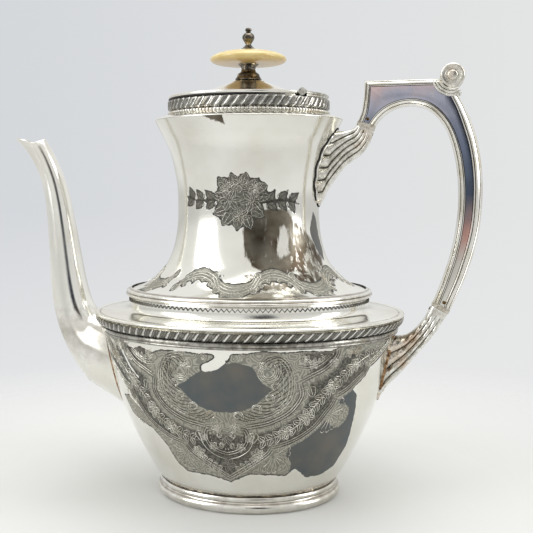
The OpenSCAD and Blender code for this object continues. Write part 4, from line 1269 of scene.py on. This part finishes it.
def hoop(half, z, start=0, end=360, n=180):
    """Points round an oval, in degrees from the handle side."""
    turns = np.radians(np.linspace(start, end, n + 1))
    return [(half * cos(a), half * OVAL * sin(a), z) for a in turns]


ZIGZAG_POINTS = 300
zigzag = []
for k in range(ZIGZAG_POINTS + 1):
    a = 2 * pi * (k % ZIGZAG_POINTS) / ZIGZAG_POINTS
    zigzag.append((67.3 * cos(a), 67.3 * OVAL * sin(a), 109.0 + 1.6 * (k % 2)))
threads("shoulder_dark_lines", [zigzag], 0.24, "pot", "silver_trim", black)
threads("shoulder_edge_line", [hoop(83.75, 102.7)], 0.42, "pot", "silver_trim", cast)
threads("rim_top_shadow_line", [hoop(44.0, 219.4, 55, 305)], 0.5, "pot", "silver_trim", shadow_black)
threads("foot_crease_line", [hoop(49.95, 5.35), hoop(50.0, 9.7)], 0.34, "pot", "silver_trim", dark_turning)
solder_run = landing_ring(-0.25)
threads("spout_solder_line", [solder_run + solder_run[:1]], 0.65, "pot", "silver_trim", solder)
arcs = []
for side in (1, -1):
    for r, y in ((7.4, 6.2), (8.9, 6.0), (10.3, 5.7)):
        arcs.append([(ROLL_X + r * cos(radians(a)), side * y, ROLL_Z + r * sin(radians(a)))
                     for a in np.linspace(196, 298, 16)])
threads("thumb_roll_shell", arcs, 0.75, "pot", "silver_trim", cast_with_painted_highlight)


def seat_line(table, z0, z1, half, out, waves, depth):
    """A wavy run round a socket's seat on the vessel's wall."""
    run = []
    for k in range(97):
        t = 2 * pi * (k % 96) / 96
        swell = 1 + depth * abs(sin(waves * t / 2))
        y = half * sin(t) * swell
        z = (z0 + z1) / 2 - (z1 - z0) / 2 * cos(t) * (1 + depth * 0.2 * abs(sin(waves * t / 2)))
        a = half_at(table, z) + out
        run.append((a * sqrt(1 - (y / (OVAL * a)) ** 2), y, z))
    return run


threads("shell_socket_seat", [seat_line(neck_table, 162.6, 201.8, 9.2, 0.2, 14, 0.14)], 1.0, "pot",
        "silver_trim", cast_with_painted_highlight)
threads("leaf_socket_seat", [seat_line(body_table, 55.5, 90.5, 8.4, 0.1, 10, 0.1)], 0.8, "pot",
        "silver_trim", solder)
# black thread as painted shadow where the upper socket meets the neck
threads("socket_seat_solder", [seat_line(neck_table, 161.4, 203.0, 10.6, 0.0, 14, 0.12)], 0.6, "pot",
        "silver_trim", shadow_black)


# ---------------------------------------------------------------- kept CAD pieces

KEPT = {plate: ("base_plate", "mouth_sleeve", "lid_bezel", "finial_stud", "finial_washer"),
        cast: ("hinge_plate", "fixed_knuckles", "hinge_pin", "lid_knuckles"),
        bone: ("upper_insulator", "lower_insulator"),
        brass: ("upper_pins", "lower_pins", "finial_nut")}
for mat, names in KEPT.items():
    for item in bpy.data.objects:
        if item.type == "MESH" and item.name in names:
            for k in range(max(1, len(item.material_slots))):
                if not item.material_slots:
                    item.data.materials.append(mat)
                item.material_slots[k].material = mat


# ---------------------------------------------------------------- room

def lamp(name, place, aim, size, watts, colour="#FFFFFF"):
    light = bpy.data.lights.new(name, "AREA")
    light.shape = "RECTANGLE"
    light.size, light.size_y = size
    light.energy = watts
    light.color = tone(colour)[:3]
    item = bpy.data.objects.new(name, light)
    bpy.context.collection.objects.link(item)
    item.location = place
    item.rotation_euler = (Vector(aim) - Vector(place)).to_track_quat("-Z", "Y").to_euler()
    return item


world = bpy.data.worlds.new("pale room")
bpy.context.scene.world = world
world.use_nodes = True
tree = world.node_tree
tree.nodes.clear()
way = add(tree, "TexCoord", out="Generated")
across, along, height = [add(tree, "SeparateXYZ", [way], axis) for axis in "XYZ"]

# what the camera sees behind the pot: grey to the left, paler to the right and below
sideways = add(tree, "Math", [across, 0.982], operation="MULTIPLY")
forward = add(tree, "Math", [along, 0.189], operation="MULTIPLY")
rightward = add(tree, "Math", [sideways, forward], operation="ADD")
rightward = add(tree, "MapRange", [rightward, -0.32, 0.32])
seen = add(tree, "Mix", {0: rightward, 6: "#D3D6DA", 7: "#E4E5E5"}, 2, data_type="RGBA")
above = add(tree, "MapRange", [height, -0.28, -0.02])
seen = add(tree, "Mix", {0: above, 6: "#E9E9EA", 7: seen}, 2, data_type="RGBA")

# what the silver reflects: a pale room with a person and some furniture in front of the pot
level = add(tree, "MapRange", [height, -1, 1])
sky = add(tree, "ValToRGB", [level], stops=((0.0, "#E2E2E0"), (0.45, "#F4F4F2"), (0.5, "#CFCFCD"),
                                            (0.54, "#F0F0EE"), (0.62, "#FCFCFA")))
lumps = add(tree, "TexNoise", {"Vector": way, "Scale": 1 / 0.16, "Detail": 3, "Roughness": 0.6})
lumps = add(tree, "MapRange", [lumps, 0.3, 0.7, -9, 9])
backward = add(tree, "Math", [along, -1.0], operation="MULTIPLY")
azimuth = add(tree, "Math", [across, backward], operation="ARCTAN2")
azimuth = add(tree, "Math", [azimuth, 180 / pi], operation="MULTIPLY")
azimuth = add(tree, "Math", [azimuth, lumps], operation="ADD")
rise = add(tree, "Math", [height], operation="ARCSINE")
rise = add(tree, "Math", [rise, 180 / pi], operation="MULTIPLY")
rise = add(tree, "Math", [rise, lumps], operation="ADD")
from_floor = add(tree, "MapRange", [rise, 1, 5])
to_head = add(tree, "MapRange", [rise, 34, 42, 1, 0])
tall = add(tree, "Math", [from_floor, to_head], operation="MULTIPLY")
shapes = []
for left, right in (((5, 9), (24, 32)), ((30, 40), (92, 108))):
    left_side = add(tree, "MapRange", [azimuth, *left])
    right_side = add(tree, "MapRange", [azimuth, *right, 1, 0])
    between = add(tree, "Math", [left_side, right_side], operation="MULTIPLY")
    shapes.append(add(tree, "Math", [between, tall], operation="MULTIPLY"))
person, furniture = shapes
furniture = add(tree, "Math", [furniture, 0.16], operation="MULTIPLY")
sky = add(tree, "Mix", {0: furniture, 6: sky, 7: "#6A5F55"}, 2, data_type="RGBA")
waist = add(tree, "MapRange", [rise, 14, 24])
clothes = add(tree, "Mix", {0: waist, 6: "#2C3440", 7: "#4A413A"}, 2, data_type="RGBA")
sky = add(tree, "Mix", {0: person, 6: sky, 7: clothes}, 2, data_type="RGBA")
camera_ray = add(tree, "LightPath", out="Is Camera Ray")
lit = add(tree, "Background", {"Color": sky, "Strength": 0.9})
view = add(tree, "Background", {"Color": seen, "Strength": 1.0})
add(tree, "OutputWorld", [add(tree, "MixShader", [camera_ray, lit, view])])

# matt white paper that takes the pot's shadow, and fades away from 150 to 400 mm out
paper_sweep, tree, place = fresh_material("white paper sweep")
distance = add(tree, "VectorMath", [place], "Value", operation="LENGTH")
fade = add(tree, "MapRange", [distance, 150, 400])
paper = add(tree, "BsdfPrincipled", {"Base Color": "#CCCCCA", "Roughness": 0.85, "Specular IOR Level": 0.1})
clear = add(tree, "BsdfTransparent")
add(tree, "OutputMaterial", [add(tree, "MixShader", [fade, paper, clear])])
bpy.ops.mesh.primitive_plane_add(size=1.4)
floor = bpy.context.object
floor.name = "paper_sweep"
floor.data.materials.append(paper_sweep)

lamp("window_left", (-1.3, -0.9, 0.9), (0, 0, 0.12), (1.0, 1.4), 13)
lamp("window_right", (1.5, -0.2, 0.8), (0, 0, 0.12), (0.6, 1.2), 9)
lamp("ceiling", (0.1, 0.1, 1.7), (0, 0, 0.1), (1.6, 1.6), 16)

camera_data = bpy.data.cameras.new("camera")
camera_data.lens = 60.11
camera_data.sensor_width = 36
camera_data.shift_x = 0.0341
camera_data.clip_start = 0.01
camera = bpy.data.objects.new("camera", camera_data)
bpy.context.collection.objects.link(camera)
camera.location = (0.0942, -0.4894, 0.1702)
turn, tilt = radians(10.9), radians(4.93)
gaze = Vector((-sin(turn) * cos(tilt), cos(turn) * cos(tilt), -sin(tilt)))
camera.rotation_euler = gaze.to_track_quat("-Z", "Y").to_euler()
bpy.context.scene.camera = camera
bpy.context.scene.view_settings.view_transform = "Standard"
